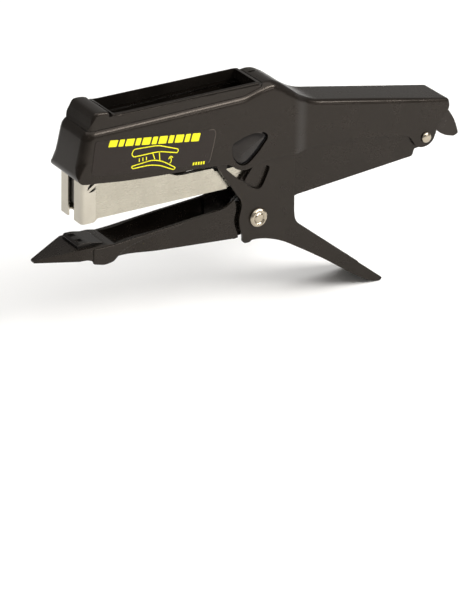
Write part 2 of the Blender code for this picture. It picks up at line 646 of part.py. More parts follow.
def build_nose(mat):
    """Folded front plates with the driver slot between them, and the side lug."""
    x0, x1 = NOSE_X, NOSE_X + 1.2
    w = W_MAG + 1.3
    nose = box("nose_plate", x0, x1, -w, w, NOSE_Z, 50.5, mat)
    cut(nose, box("s", x0 - 1, x1 + 1, -3.5, 3.5, NOSE_Z - 1, 46.5))
    for s in (-1, 1):
        a, b = sorted((s * (W_MAG + 0.3), s * w))
        join(nose, prism("c", [(x1 - 0.4, NOSE_Z), (-112.4, NOSE_Z), (-110.9, NOSE_Z + 2.0),
                               (-110.9, 50.5), (x1 - 0.4, 50.5)], a, b))
        cut(nose, prism("k", [(-116.4, 41.6), (-115.6, 39.2), (-106.4, 43.4), (-107.2, 45.6)],
                        a - 1 if s < 0 else a - 0.05, b + 1 if s > 0 else b + 0.05))
    soften(nose, 1.0, lambda p, q: abs(p[0] - x0) < 0.01 and abs(q[0] - x0) < 0.01 and
           abs(abs(p[1]) - w) < 0.01 and abs(abs(q[1]) - w) < 0.01, 3)
    return tidy(nose)


def build_core(mat):
    z0 = MAG_Z0 + MAG_FLOOR + GAP
    core = box("staple_core", -115.2, 36.0, -CORE_W, CORE_W, z0, CORE_TOP, mat)
    cut(core, box("c", -113.8, 45, -CORE_W + 1.3, CORE_W - 1.3, z0 + 1.0, CORE_TOP + 5))
    soften(core, 0.5, lambda p, q: p[2] > CORE_TOP - 0.01 and q[2] > CORE_TOP - 0.01 and
           abs(abs(p[1]) - CORE_W) < 0.01 and abs(abs(q[1]) - CORE_W) < 0.01, 2)
    return tidy(core)


def build_rod(mat):
    rod = disc_x("pusher_rod", (0, ROD_Z), R_ROD, -113.4, MAG_END + 1.6, mat, 16)
    return join(rod, disc_x("h", (0, ROD_Z), 2.2, MAG_END + 0.3, MAG_END + 1.9, None, 16))


def build_pusher_spring(mat):
    x0, x1 = PUSH_X + PUSH_L + 0.5, MAG_END - 2.2
    r, wire, turns = 1.85, 0.6, 40
    n = turns * 9
    path = [(x0 + (x1 - x0) * k / n, r * cos(2 * pi * turns * k / n),
             ROD_Z + r * sin(2 * pi * turns * k / n)) for k in range(n + 1)]
    return tube_along("pusher_spring", path, wire / 2, mat, 5)


def build_pusher(mat):
    z0 = MAG_Z0 + MAG_FLOOR + 0.4
    x0, x1 = PUSH_X, PUSH_X + PUSH_L
    p = box("pusher", x0, x1, -PUSH_W, PUSH_W, z0, PUSH_TOP, mat)
    cut(p, box("c", x0 - 1, x1 + 1, -CORE_W - 0.3, CORE_W + 0.3, z0 - 1, CORE_TOP + 0.3))
    tongue = box("t", x0 + 1.0, x1 - 0.02, -3.4, 3.4, z0 + 1.4, CORE_TOP + 1.0)
    cut(tongue, disc_x("h", (0, ROD_Z), R_ROD + 0.3, x0 - 2.0, x1 + 1))
    join(p, tongue)
    return tidy(p)


def main():
    clear_scene()
    black = material("satin_black_steel", (0.035, 0.032, 0.030), 0.6, 0.42)
    lever_m = material("black_lever_steel", (0.036, 0.033, 0.031), 0.6, 0.44)
    body_m = material("black_body_enamel", (0.040, 0.036, 0.033), 0.4, 0.36)
    rim_m = material("black_rim_enamel", (0.030, 0.028, 0.027), 0.4, 0.32)
    gloss = material("gloss_black_insert", (0.012, 0.012, 0.013), 0.2, 0.14)
    nickel = material("nickel_plate", (0.66, 0.63, 0.56), 1.0, 0.24)
    nose_m = material("nose_nickel", (0.68, 0.65, 0.58), 1.0, 0.22)
    rivet_m = material("rivet_nickel", (0.62, 0.61, 0.58), 1.0, 0.30)
    steel = material("bright_steel", (0.50, 0.50, 0.50), 1.0, 0.32)
    spring_m = material("spring_steel", (0.30, 0.30, 0.31), 1.0, 0.35)
    anvil_m = material("anvil_black_gloss", (0.014, 0.014, 0.015), 0.5, 0.18)
    claw_m = material("claw_black", (0.030, 0.029, 0.028), 0.6, 0.34)
    label_m = material("label_print", (0.045, 0.038, 0.050), 0.0, 0.40)
    push_m = material("pusher_steel", (0.42, 0.42, 0.43), 1.0, 0.38)

    build_jaw(black)
    build_anvil(anvil_m)
    build_main_rivet(rivet_m)
    build_rear_rivet(rivet_m)
    sleeve("main_sleeve", MAIN, R_MAIN + 0.3, 5.6, W_JAW - T_JAW - GAP, steel)
    sleeve("rear_sleeve", REAR, R_REAR + 0.3, 4.0, W_JAW - T_JAW - GAP, steel)
    coil("return_spring", MAIN, 7.2, 1.5, 8.0, 6, (215, 9.0), (300, 8.0), spring_m)

    build_lever(lever_m)
    build_thrust_pin(steel)

    build_body(body_m)
    build_rim(rim_m)
    build_pocket("pocket_insert_left", -1, gloss)
    build_pocket("pocket_insert_right", 1, gloss)
    build_saddle(steel)
    build_driver(steel)
    build_clamp(steel)
    build_clamp_screw(rivet_m)
    build_claw(claw_m)
    build_label(label_m)
    build_mag_pin(steel)
    coil("magazine_spring", MAGP, 3.6, 1.1, W_MAG_REAR - T_MAG - 1.6, 5, (150, 9.0), (20, 8.0), spring_m)

    build_magazine(nickel)
    build_nose(nose_m)
    build_core(steel)
    build_rod(steel)
    build_pusher_spring(spring_m)

    build_pusher(push_m)


main()
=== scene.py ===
"""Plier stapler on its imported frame: the visible pieces, their finishes, the light and the camera.

Side views are drawn in millimetres from the lever's pivot: nose toward -x, handles toward +x.
"""
import json
import bpy
import bmesh
from math import pi, sin, cos, radians, hypot, atan2
from mathutils import Vector, Matrix


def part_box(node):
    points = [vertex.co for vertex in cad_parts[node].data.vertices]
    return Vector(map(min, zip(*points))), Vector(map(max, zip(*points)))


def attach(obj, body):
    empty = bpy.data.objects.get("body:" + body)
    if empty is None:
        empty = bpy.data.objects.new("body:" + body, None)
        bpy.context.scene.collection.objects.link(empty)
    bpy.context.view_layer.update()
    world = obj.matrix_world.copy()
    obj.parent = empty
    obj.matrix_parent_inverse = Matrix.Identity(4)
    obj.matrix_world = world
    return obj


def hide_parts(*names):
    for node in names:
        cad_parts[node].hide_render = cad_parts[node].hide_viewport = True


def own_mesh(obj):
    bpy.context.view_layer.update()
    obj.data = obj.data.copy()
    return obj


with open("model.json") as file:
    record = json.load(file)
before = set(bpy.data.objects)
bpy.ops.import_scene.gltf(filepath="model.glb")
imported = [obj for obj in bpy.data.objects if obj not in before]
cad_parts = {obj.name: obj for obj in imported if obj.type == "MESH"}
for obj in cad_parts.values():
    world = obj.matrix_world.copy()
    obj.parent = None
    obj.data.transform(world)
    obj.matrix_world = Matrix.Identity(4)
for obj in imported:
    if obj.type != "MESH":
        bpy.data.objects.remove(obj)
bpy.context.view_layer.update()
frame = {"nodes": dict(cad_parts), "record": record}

MM = 0.001
JOINTS = {j["name"]: j for j in frame["record"]["behaviour"]["joints"]}
PIVOT = Vector(JOINTS["lever_squeeze"]["pos_m"])


def side(name):
    """A joint's centre in the side view, in millimetres from the lever's pivot."""
    p = Vector(JOINTS[name]["pos_m"]) - PIVOT
    return p.x / MM, p.z / MM


MAIN = (0.0, 0.0)
REAR = side("body_close")


def span(node):
    """A node's box in side-view millimetres."""
    lo, hi = (Vector(c) - Vector((PIVOT.x, 0, PIVOT.z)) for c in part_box(node))
    return tuple(lo / MM), tuple(hi / MM)


BOX_HALF = span("body_shell")[1][1]
LEVER_HALF = span("lower_lever")[1][1]
JAW_HALF = span("jaw_frame")[1][1]
MAG_HALF = span("magazine")[1][1]
NOSE_LO, NOSE_HI = span("nose_plate")
HANDLE_HALF = 13.8
STEP_X0, STEP_X1 = 22.0, 34.0  # where the box narrows to the handle
SHEET, LEVER_SHEET, MAG_SHEET = 1.7, 1.6, 1.2
MAG_REAR_HALF = 9.8
MAG_FLOOR_Z = 22.4
ROD_Z = 27.6
MAIN_BORE, REAR_BORE, PIN_BORE = 4.1, 2.5, 2.7
THROUGH = 20  # half length of a cutter that passes right through


def at(x, y, z):
    return Vector((PIVOT.x + x * MM, y * MM, PIVOT.z + z * MM))


def back(co):
    return (co.x - PIVOT.x) / MM, co.y / MM, (co.z - PIVOT.z) / MM


# ------------------------------------------------------------------ drawing helpers
def both_sides(inner, outer):
    """The width ranges of a wall on the left side and of its twin on the right."""
    return [tuple(sorted((s * inner, s * outer))) for s in (-1, 1)]


def arc(centre, r, a0, a1, n):
    return [(centre[0] + r * cos(radians(a0 + (a1 - a0) * k / n)),
             centre[1] + r * sin(radians(a0 + (a1 - a0) * k / n))) for k in range(n + 1)]


def eased(points, reach=3.0, steps=4, closed=True, least=0.0):
    """Round every corner of an outline; a third number on a point is its own reach."""
    n, out = len(points), []
    for i, p in enumerate(points):
        if not closed and i in (0, n - 1):
            out.append(p[:2])
            continue
        a, b = points[i - 1], points[(i + 1) % n]
        r = p[2] if len(p) > 2 else reach
        la, lb = hypot(a[0] - p[0], a[1] - p[1]), hypot(b[0] - p[0], b[1] - p[1])
        r = max(min(r, 0.46 * la, 0.46 * lb), least)
        ua = ((a[0] - p[0]) / la, (a[1] - p[1]) / la)
        ub = ((b[0] - p[0]) / lb, (b[1] - p[1]) / lb)
        if least == 0 and (r < 0.02 or ua[0] * ub[0] + ua[1] * ub[1] < -0.9995):
            out.append(p[:2])
            continue
        s, e = (p[0] + ua[0] * r, p[1] + ua[1] * r), (p[0] + ub[0] * r, p[1] + ub[1] * r)
        for k in range(steps + 1):
            t = k / steps
            out.append(((1 - t) ** 2 * s[0] + 2 * t * (1 - t) * p[0] + t * t * e[0],
                        (1 - t) ** 2 * s[1] + 2 * t * (1 - t) * p[1] + t * t * e[1]))
    return out


def ribbon(path, t):
    """Outline of a strip of thickness t whose lower or outer face follows the path."""
    upper = []
    for i, p in enumerate(path):
        a, b = path[max(i - 1, 0)], path[min(i + 1, len(path) - 1)]
        d = hypot(b[0] - a[0], b[1] - a[1])
        upper.append((p[0] - (b[1] - a[1]) / d * t, p[1] + (b[0] - a[0]) / d * t))
    return list(path) + upper[::-1]


# ------------------------------------------------------------------ modelling by hand
def only(ob):
    bpy.ops.object.select_all(action="DESELECT")
    ob.select_set(True)
    bpy.context.view_layer.objects.active = ob


def edit(ob, mode="EDGE"):
    only(ob)
    bpy.ops.object.mode_set(mode="EDIT")
    bpy.ops.mesh.select_mode(type=mode)


def done():
    bpy.ops.object.mode_set(mode="OBJECT")


def named(name):
    ob = bpy.context.object
    ob.name = ob.data.name = name
    return ob


def ring(name, points):
    """A closed loop drawn from a circle whose corners are moved to the points."""
    bpy.ops.object.select_all(action="DESELECT")
    bpy.ops.mesh.primitive_circle_add(vertices=len(points), radius=0.01, fill_type="NOTHING")
    ob = named(name)
    for v, p in zip(ob.data.vertices, points):
        v.co = p
    return ob


def plate(name, outline, y0, y1):
    """Side outline filled and extruded across the width."""
    ob = ring(name, [at(p[0], y0, p[1]) for p in outline])
    edit(ob)
    bpy.ops.mesh.select_all(action="SELECT")
    bpy.ops.mesh.edge_face_add()
    bpy.ops.mesh.extrude_region_move(TRANSFORM_OT_translate={"value": (0, (y1 - y0) * MM, 0)})
    bpy.ops.mesh.select_all(action="SELECT")
    bpy.ops.mesh.normals_make_consistent(inside=False)
    done()
    return ob


def slab(name, outline, z0, z1):
    """Plan outline (x, y) filled and extruded upward."""
    ob = ring(name, [at(x, y, z0) for x, y in outline])
    edit(ob)
    bpy.ops.mesh.select_all(action="SELECT")
    bpy.ops.mesh.edge_face_add()
    bpy.ops.mesh.extrude_region_move(TRANSFORM_OT_translate={"value": (0, 0, (z1 - z0) * MM)})
    bpy.ops.mesh.select_all(action="SELECT")
    bpy.ops.mesh.normals_make_consistent(inside=False)
    done()
    return ob


def block(name, x0, x1, y0, y1, z0, z1):
    return plate(name, [(x0, z0), (x1, z0), (x1, z1), (x0, z1)], y0, y1)


def skin(name, rings):
    """A tube through equal rings of points, from a grid, with both ends filled."""
    n = len(rings[0])
    bpy.ops.object.select_all(action="DESELECT")
    bpy.ops.mesh.primitive_grid_add(x_subdivisions=n, y_subdivisions=len(rings) - 1, size=0.1)
    ob = named(name)
    for j, r in enumerate(rings):
        for i in range(n + 1):
            ob.data.vertices[j * (n + 1) + i].co = r[i % n]
    edit(ob)
    bpy.ops.mesh.select_all(action="SELECT")
    bpy.ops.mesh.remove_doubles(threshold=1e-6)
    bpy.ops.mesh.fill_holes(sides=0)
    bpy.ops.mesh.select_all(action="SELECT")
    bpy.ops.mesh.normals_make_consistent(inside=False)
    done()
    return ob


def spun(name, centre, profile, seg=64):
    """Profile of (y, r) pairs turned about the cross axis through centre."""
    rings = []
    for y, r in profile:
        rings.append([at(centre[0] + max(r, 0.004) * cos(2 * pi * k / seg), y,
                         centre[1] + max(r, 0.004) * sin(2 * pi * k / seg)) for k in range(seg)])
    return skin(name, rings)


def inset(outline, amounts):
    """Each corner of an outline moved inward by its own amount."""
    n = len(outline)
    area = sum(outline[i][0] * outline[(i + 1) % n][1] - outline[(i + 1) % n][0] * outline[i][1]
               for i in range(n))
    s = 1 if area > 0 else -1
    out = []
    for i in range(n):
        a, p, b = outline[i - 1], outline[i], outline[(i + 1) % n]
        n1, n2 = (-(p[1] - a[1]) * s, (p[0] - a[0]) * s), (-(b[1] - p[1]) * s, (b[0] - p[0]) * s)
        l1, l2 = max(hypot(*n1), 1e-9), max(hypot(*n2), 1e-9)
        m = (n1[0] / l1 + n2[0] / l2, n1[1] / l1 + n2[1] / l2)
        k = 2 * amounts[i] / max(m[0] ** 2 + m[1] ** 2, 0.5)
        out.append((p[0] + m[0] * k, p[1] + m[1] * k))
    return out


def shrunk(outline, d):
    return inset(outline, [d] * len(outline))


def pillow(name, corners, half, radius, steps=7, reach=3.0):
    """Side outline as wide as 2 x half, its side faces rounded over; radius(x, z) in mm."""
    own = [radius(p[0], p[1]) for p in corners]
    base = eased(corners, reach, 4, True, 0.06)
    depth = [radius(x, z) for x, z in base]
    rings = []
    for s in (-1, 1):
        turns = [k / steps * pi / 2 for k in range(steps + 1)]
        for t in turns if s < 0 else turns[::-1]:
            amounts = [r * (1 - sin(t)) for r in own]
            moved = inset(corners, amounts)
            moved = [(m[0], m[1], max((p[2] if len(p) > 2 else reach) - 0.85 * d, 0.06))
                     for m, p, d in zip(moved, corners, amounts)]
            rings.append([at(m[0], s * (half - d * (1 - cos(t))), m[1])
                          for m, d in zip(eased(moved, reach, 4, True, 0.06), depth)])
    return skin(name, rings)


def ramp(v, lo, hi):
    f = min(max((v - lo) / (hi - lo), 0.0), 1.0)
    return f * f * (3 - 2 * f)


def slice_at(ob, xs, normal=(1, 0, 0), axis=0):
    edit(ob)
    for x in xs:
        bpy.ops.mesh.select_all(action="SELECT")
        co = at(x, 0, 0) if axis == 0 else at(0, 0, x)
        bpy.ops.mesh.bisect(plane_co=co, plane_no=normal)
    done()


def bevel_edges(ob, width, segments, chosen):
    """Round the edges whose two ends, in side-view millimetres, are chosen."""
    edit(ob)
    bm = bmesh.from_edit_mesh(ob.data)
    bpy.ops.mesh.select_all(action="DESELECT")
    for e in bm.edges:
        e.select = chosen(back(e.verts[0].co), back(e.verts[1].co))
    bmesh.update_edit_mesh(ob.data)
    bpy.ops.mesh.bevel(offset=width * MM, segments=segments, profile=0.5, affect="EDGES",
                       clamp_overlap=True)
    bpy.ops.mesh.select_all(action="SELECT")
    bpy.ops.mesh.remove_doubles(threshold=2e-6)
    done()


def combine(ob, operation, others):
    for other in others:
        only(ob)
        m = ob.modifiers.new("shape", "BOOLEAN")
        m.operation, m.solver, m.object = operation, "EXACT", other
        bpy.ops.object.modifier_apply(modifier=m.name)
        bpy.data.objects.remove(other, do_unlink=True)
    return ob


def cut(ob, *others):
    return combine(ob, "DIFFERENCE", others)


def join(ob, *others):
    return combine(ob, "UNION", others)


def gathered(name, parts):
    """Separate meshes kept as one object."""
    for part in parts[1:]:
        bpy.ops.object.select_all(action="DESELECT")
        parts[0].select_set(True)
        part.select_set(True)
        bpy.context.view_layer.objects.active = parts[0]
        bpy.ops.object.join()
    parts[0].name = parts[0].data.name = name
    return parts[0]


def clean(ob, dist=3e-6):
    edit(ob)
    bpy.ops.mesh.select_all(action="SELECT")
    bpy.ops.mesh.remove_doubles(threshold=dist)
    bpy.ops.mesh.dissolve_degenerate(threshold=dist)
    bpy.ops.mesh.select_all(action="SELECT")
    bpy.ops.mesh.normals_make_consistent(inside=False)
    done()
    return ob


def ease_edges(ob, width=0.3, segments=2, angle=35):
    """Small even rounding of every sharp edge left."""
    clean(ob)
    only(ob)
    m = ob.modifiers.new("edges", "BEVEL")
    m.width, m.segments, m.limit_method, m.angle_limit = width * MM, segments, "ANGLE", radians(angle)
    m.use_clamp_overlap = True
    m.harden_normals = False
    bpy.ops.object.modifier_apply(modifier=m.name)
    return ob


def finish(ob, finish_material, body, nodes=(), smooth=32):
    ob.data.materials.clear()
    ob.data.materials.append(finish_material)
    only(ob)
    bpy.ops.object.shade_smooth_by_angle(angle=radians(smooth))
    m = ob.modifiers.new("even_shading", "WEIGHTED_NORMAL")
    m.keep_sharp = True
    bpy.ops.object.modifier_apply(modifier=m.name)
    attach(ob, body)
    if nodes:
        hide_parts(*nodes)
    return ob


def doubled(ob, name):
    """The same piece on the other side of the middle plane."""
    bpy.ops.object.select_all(action="DESELECT")
    twin = ob.copy()
    twin.data = ob.data.copy()
    bpy.context.scene.collection.objects.link(twin)
    twin.name = twin.data.name = name
    for v in twin.data.vertices:
        v.co.y = -v.co.y
    edit(twin)
    bpy.ops.mesh.select_all(action="SELECT")
    bpy.ops.mesh.flip_normals()
    done()
    return twin


# ------------------------------------------------------------------ finishes
class Socket:
    """A shader socket that can be used in sums and products."""
    def __init__(self, owner, out):
        self.owner, self.out = owner, out

    def __add__(self, o): return self.owner.math("ADD", self, o)
    def __radd__(self, o): return self.owner.math("ADD", o, self)
    def __sub__(self, o): return self.owner.math("SUBTRACT", self, o)
    def __rsub__(self, o): return self.owner.math("SUBTRACT", o, self)
    def __mul__(self, o): return self.owner.math("MULTIPLY", self, o)
    def __rmul__(self, o): return self.owner.math("MULTIPLY", o, self)
    def __pow__(self, o): return self.owner.math("POWER", self, o)


class Finish:
    """A Principled material, built node by node on Object coordinates."""
    def __init__(self, name):
        self.material = bpy.data.materials.new(name)
        self.material.use_nodes = True
        self.tree = self.material.node_tree
        self.surface = self.tree.nodes["Principled BSDF"]
        self.place = self.node("ShaderNodeTexCoord").outputs["Object"]

    def node(self, kind, settings=None, sockets=None):
        n = self.tree.nodes.new(kind)
        for k, v in (settings or {}).items():
            setattr(n, k, v)
        for k, v in (sockets or {}).items():
            self.feed(n.inputs[k], v)
        return n

    def feed(self, socket, value):
        if isinstance(value, Socket):
            self.tree.links.new(value.out, socket)
        elif isinstance(value, bpy.types.NodeSocket):
            self.tree.links.new(value, socket)
        else:
            socket.default_value = value

    def math(self, operation, a, b, clamp=False):
        n = self.node("ShaderNodeMath", {"operation": operation, "use_clamp": clamp}, {0: a, 1: b})
        return Socket(self, n.outputs[0])

    def limit(self, a, lo, hi):
        """0 below lo, 1 above hi, even in between."""
        n = self.node("ShaderNodeMapRange", {"clamp": True},
                      {"Value": a, "From Min": lo, "From Max": hi})
        return Socket(self, n.outputs["Result"])

    def noise(self, scale, detail=2.0, rough=0.5, stretch=(1, 1, 1)):
        m = self.node("ShaderNodeMapping", None, {"Vector": self.place, "Scale": stretch})
        n = self.node("ShaderNodeTexNoise", None, {"Vector": m.outputs[0], "Scale": scale,
                                                   "Detail": detail, "Roughness": rough})
        return Socket(self, n.outputs["Fac"])

    def mix(self, factor, a, b):
        n = self.node("ShaderNodeMix", {"data_type": "RGBA"}, {"Factor": factor})
        self.feed(n.inputs[6], a)
        self.feed(n.inputs[7], b)
        return Socket(self, n.outputs[2])

    def edges(self, radius):
        """1 on sharp outside edges, 0 on flats."""
        b = self.node("ShaderNodeBevel", {"samples": 4}, {"Radius": radius * MM})
        g = self.node("ShaderNodeNewGeometry")
        d = self.node("ShaderNodeVectorMath", {"operation": "DOT_PRODUCT"},
                      {0: b.outputs[0], 1: g.outputs["Normal"]})
        return self.limit(1 - Socket(self, d.outputs["Value"]), 0.01, 0.14)

    def bump(self, height, strength, distance):
        n = self.node("ShaderNodeBump", None, {"Height": height, "Strength": strength,
                                               "Distance": distance * MM})
        return Socket(self, n.outputs[0])

    def set(self, **values):
        for k, v in values.items():
            self.feed(self.surface.inputs[k.replace("_", " ")], v)
        return self.material


def rgb(r, g, b):
    return (r, g, b, 1.0)


def coat(name, dark, light, rough, grain, wear=0.35, metal=0.0, coat_weight=0.0):
    """Baked enamel on pressed steel: fine orange peel, rub marks, thin edges."""
    f = Finish(name)
    cloud = f.noise(60, 3, 0.6)
    speck = f.noise(900, 2, 0.5)
    peel = f.noise(1500, 2, 0.6)
    rub = f.limit(f.noise(240, 4, 0.7, (0.25, 1, 1)), 0.56, 0.78)
    worn = f.edges(0.45) * f.limit(f.noise(420, 3, 0.7), 0.42, 0.72) * wear
    tone = f.mix(f.limit(cloud, 0.3, 0.7), dark, light)
    tone = f.mix(worn, tone, rgb(0.10, 0.096, 0.09))
    gloss = rough + (cloud - 0.5) * 0.16 + (speck - 0.5) * 0.08 + rub * 0.06 - worn * 0.1
    f.set(Base_Color=tone, Roughness=gloss, Metallic=metal,
          Normal=f.bump(peel * 0.7 + speck * 0.3, grain, 0.05))
    f.surface.inputs["Specular IOR Level"].default_value = 0.25
    f.surface.inputs["Specular Tint"].default_value = rgb(1.0, 0.87, 0.76)
    f.surface.inputs["Coat Weight"].default_value = coat_weight
    f.surface.inputs["Coat Roughness"].default_value = 0.12
    return f.material


def plated(name, tone, rough, brush=(1, 1, 1), strength=0.12, stain=0.2):
    """Bright plated steel: rolling lines, faint clouding and handling marks."""
    f = Finish(name)
    lines = f.noise(520, 4, 0.65, brush)
    cloud = f.noise(70, 3, 0.6)
    spot = f.limit(f.noise(800, 2, 0.5), 0.68, 0.8)
    dull = tuple(c * 0.72 for c in tone[:3]) + (1.0,)
    colour = f.mix(f.limit(cloud, 0.35, 0.75) * stain * 1.6 + spot * stain, tone, dull)
    f.set(Base_Color=colour, Metallic=1.0,
          Roughness=rough + (lines - 0.5) * 0.16 + (cloud - 0.5) * 0.12 + spot * 0.1,
          Normal=f.bump(lines, strength, 0.03))
    return f.material


def printed(name, tone, rough):
    f = Finish(name)
    fleck = f.noise(1300, 2, 0.5)
    cloud = f.noise(90, 2, 0.5)
    light = tuple(min(c * 1.25, 1.0) for c in tone[:3]) + (1.0,)
    f.set(Base_Color=f.mix(f.limit(fleck, 0.4, 0.7) * 0.5 + cloud * 0.3, tone, light),
          Roughness=rough + (cloud - 0.5) * 0.12, Normal=f.bump(fleck, 0.06, 0.02))
    f.surface.inputs["Specular IOR Level"].default_value = 0.25
    f.surface.inputs["Specular Tint"].default_value = rgb(1.0, 0.87, 0.76)
    return f.material


ENAMEL = coat("black_body_enamel", rgb(0.0048, 0.0038, 0.0030), rgb(0.0074, 0.0058, 0.0045), 0.25, 0.08)
RIM_ENAMEL = coat("black_rim_enamel", rgb(0.0050, 0.0042, 0.0035), rgb(0.0080, 0.0066, 0.0055), 0.22, 0.07)
JAW_ENAMEL = coat("satin_black_steel", rgb(0.0045, 0.0036, 0.0028), rgb(0.0070, 0.0055, 0.0043), 0.26, 0.08)
LEVER_ENAMEL = coat("black_lever_steel", rgb(0.0055, 0.0044, 0.0034), rgb(0.0080, 0.0064, 0.0050), 0.30, 0.09)
GLOSS_BLACK = coat("gloss_black_insert", rgb(0.006, 0.006, 0.0065), rgb(0.010, 0.010, 0.0105), 0.15, 0.03,
                   0.1)
ANVIL_BLACK = coat("anvil_black_gloss", rgb(0.005, 0.005, 0.005), rgb(0.010, 0.0095, 0.0095), 0.18, 0.05,
                   0.6)
CLAW_BLACK = coat("claw_black", rgb(0.0075, 0.0062, 0.0052), rgb(0.0120, 0.0100, 0.0085), 0.24, 0.07, 0.6)
NICKEL = plated("nickel_plate", rgb(0.37, 0.345, 0.285), 0.27, (0.12, 1, 1), 0.10, 0.28)
NOSE_NICKEL = plated("nose_nickel", rgb(0.42, 0.39, 0.33), 0.20, (1, 1, 0.12), 0.08, 0.25)
RIVET = plated("rivet_nickel", rgb(0.36, 0.315, 0.245), 0.22, (1, 1, 1), 0.16, 0.35)
STEEL = plated("bright_steel", rgb(0.50, 0.49, 0.47), 0.30, (0.2, 1, 1), 0.12, 0.3)
SPRING = plated("spring_steel", rgb(0.30, 0.30, 0.31), 0.28, (1, 1, 1), 0.08, 0.3)
PUSHER = plated("pusher_steel", rgb(0.40, 0.40, 0.40), 0.34, (0.2, 1, 1), 0.12, 0.3)
BLADE = plated("blade_steel", rgb(0.10, 0.095, 0.09), 0.40, (1, 1, 0.2), 0.1, 0.3)
LABEL = printed("label_print", rgb(0.0082, 0.0062, 0.0058), 0.30)
INK = printed("label_ink", rgb(0.66, 0.62, 0.012), 0.5)
# Lighter tone for a painted highlight along the label's right edge, where the edge of the sheet catches the
# light.
LABEL_EDGE_HIGHLIGHT = printed("label_edge_painted_highlight", rgb(0.075, 0.065, 0.055), 0.45)


# ------------------------------------------------------------------ hollow body
ROOF_A, ROOF_B = (-112.0, 80.0), (6.0, 82.2)


def roof(x):
    return ROOF_A[1] + (ROOF_B[1] - ROOF_A[1]) * (x - ROOF_A[0]) / (ROOF_B[0] - ROOF_A[0])


COVER = [(-124.6, 50.2, 2), (-125.2, 52.8, 1.2), (-123.2, 62.0, 4),
         (-119.2, 79.9, 6.5), (-60.0, roof(-60.0)), (-13.0, roof(-13.0), 6), (-1.0, 85.6, 5),
         (7.5, 86.5, 4), (14.0, 83.3, 3), (20.8, 78.4, 3), (27.5, 73.2, 4), (37.5, 67.8, 7),
         (80.0, 60.0), (133.0, 50.0, 2.5), (137.3, 49.2, 2.2), (138.4, 45.6, 3),
         (136.5, 42.0, 3), (128.8, 32.2, 3), (128.2, 28.6), (126.2, 23.6), (122.6, 21.2),
         (118.0, 20.7), (113.8, 22.2), (110.4, 27.6), (108.0, 30.2), (104.4, 31.4),
         (86.6, 34.3, 6), (63.2, 37.8, 6), (47.1, 38.4, 6), (34.5, 37.6, 5), (24.0, 36.7, 5),
         (8.0, 37.4, 5), (-1.9, 37.2), (-6.0, 35.0), (-11.1, 33.9), (-16.5, 35.0), (-20.6, 38.2),
         (-24.6, 40.6), (-54.0, 42.2, 6), (-84.6, 43.9, 6), (-100.7, 45.4, 6), (-112.7, 47.0, 4),
         (-118.6, 47.4), (-122.6, 48.2)]
HOLLOW = [(-123.2, 10.0), (-123.2, 53.4), (-121.4, 62.2), (-118.9, 73.4), (-117.4, 77.0),
          (0.0, roof(0.0) - 2.8), (6.0, 78.6), (11.0, 77.0), (16.0, 74.2), (23.0, 69.8),
          (28.4, 66.9), (34.6, 65.4), (79.7, 57.3), (132.0, 47.6), (135.6, 46.4), (150.0, 43.0),
          (150.0, 10.0)]
STEPS = [STEP_X0 + (STEP_X1 - STEP_X0) * k / 12 for k in range(13)]
TEAR = [(-21.6, 48.3), (-21.5, 51.3), (-19.4, 53.2), (-11.1, 56.0, 5), (-3.0, 56.8, 5),
        (1.8, 55.6), (3.9, 53.4), (3.5, 50.8), (-3.0, 43.0, 4), (-9.0, 37.9), (-13.0, 36.9),
        (-17.0, 38.8), (-20.2, 43.2)]


def narrowed(ob, wide, slim):
    """Draw the side faces in where the box passes into the handle."""
    for v in ob.data.vertices:
        x, y, z = back(v.co)
        f = min(max((x - STEP_X0) / (STEP_X1 - STEP_X0), 0.0), 1.0)
        f = f * f * (3 - 2 * f)
        if abs(y) > slim * 0.55:
            v.co.y -= (wide - slim) * f * MM * (1 if y > 0 else -1)


def cover_round(x, z):
    """Radius of the rounded top and front edges; nothing along the lower edge."""
    if x < -110.0:
        low = ramp(z, 50.0, 57.0)
    elif x > 132.0:
        low = ramp(z, 42.2, 47.0)
    else:
        low = 1.0 if z > (62.0 if x < 30.0 else 62.0 - (x - 30.0) * 0.19) else 0.0
    return low * (5.6 - 2.2 * ramp(x, 16, 38) - 1.0 * ramp(x, 120, 132))


def upper(p):
    """Above the line that parts the top and front edges of the hollow from its open side."""
    x, z = p[0], p[2]
    if x < -110.0:
        return z > 50.4
    return z > (62.0 if x < 30.0 else 62.0 - (x - 30.0) * 0.19)


def on_face(p, q, half):
    return abs(abs(p[1]) - half) < 0.01 and abs(abs(q[1]) - half) < 0.01 and abs(p[1] - q[1]) < 0.01


def body_shell():
    w = BOX_HALF
    cover = pillow("body_shell_cover", COVER, w, cover_round)
    slice_at(cover, STEPS)
    narrowed(cover, w, HANDLE_HALF)
    hollow = plate("hollow", HOLLOW, -w + SHEET, w - SHEET)
    bevel_edges(hollow, 3.2, 3, lambda p, q: on_face(p, q, w - SHEET) and upper(p) and upper(q))
    slice_at(hollow, STEPS)
    narrowed(hollow, w - SHEET, HANDLE_HALF - SHEET)
    cut(cover, hollow)
    lo, hi = span("loading_rim")
    x0, x1, half = lo[0] - 0.3, hi[0] + 0.3, hi[1] + 0.3
    corner = 3.0
    seat = slab("seat", rounded_plan(x0, x1, half, corner), 78.4, 110)
    slope_to(seat, 78.4)
    cut(cover, seat, block("opening", -100.8, -1.8, -12.5, 12.5, 70, 100))
    cut(cover, spun("bore", REAR, [(-THROUGH, REAR_BORE), (THROUGH, REAR_BORE)], 40),
        plate("pocket", eased(TEAR), -THROUGH, THROUGH),
        slab("slit", [(2.4, 4.4), (7.0, 4.4), (7.0, 5.9), (2.4, 5.9)], 84.0, 92))
    ease_edges(cover, 0.35, 2)
    return finish(cover, ENAMEL, "body", ["body_shell"])


def rounded_plan(x0, x1, half, r):
    return (arc((x0 + r, -half + r), r, 180, 270, 6) + arc((x1 - r, -half + r), r, 270, 360, 6) +
            arc((x1 - r, half - r), r, 0, 90, 6) + arc((x0 + r, half - r), r, 90, 180, 6))


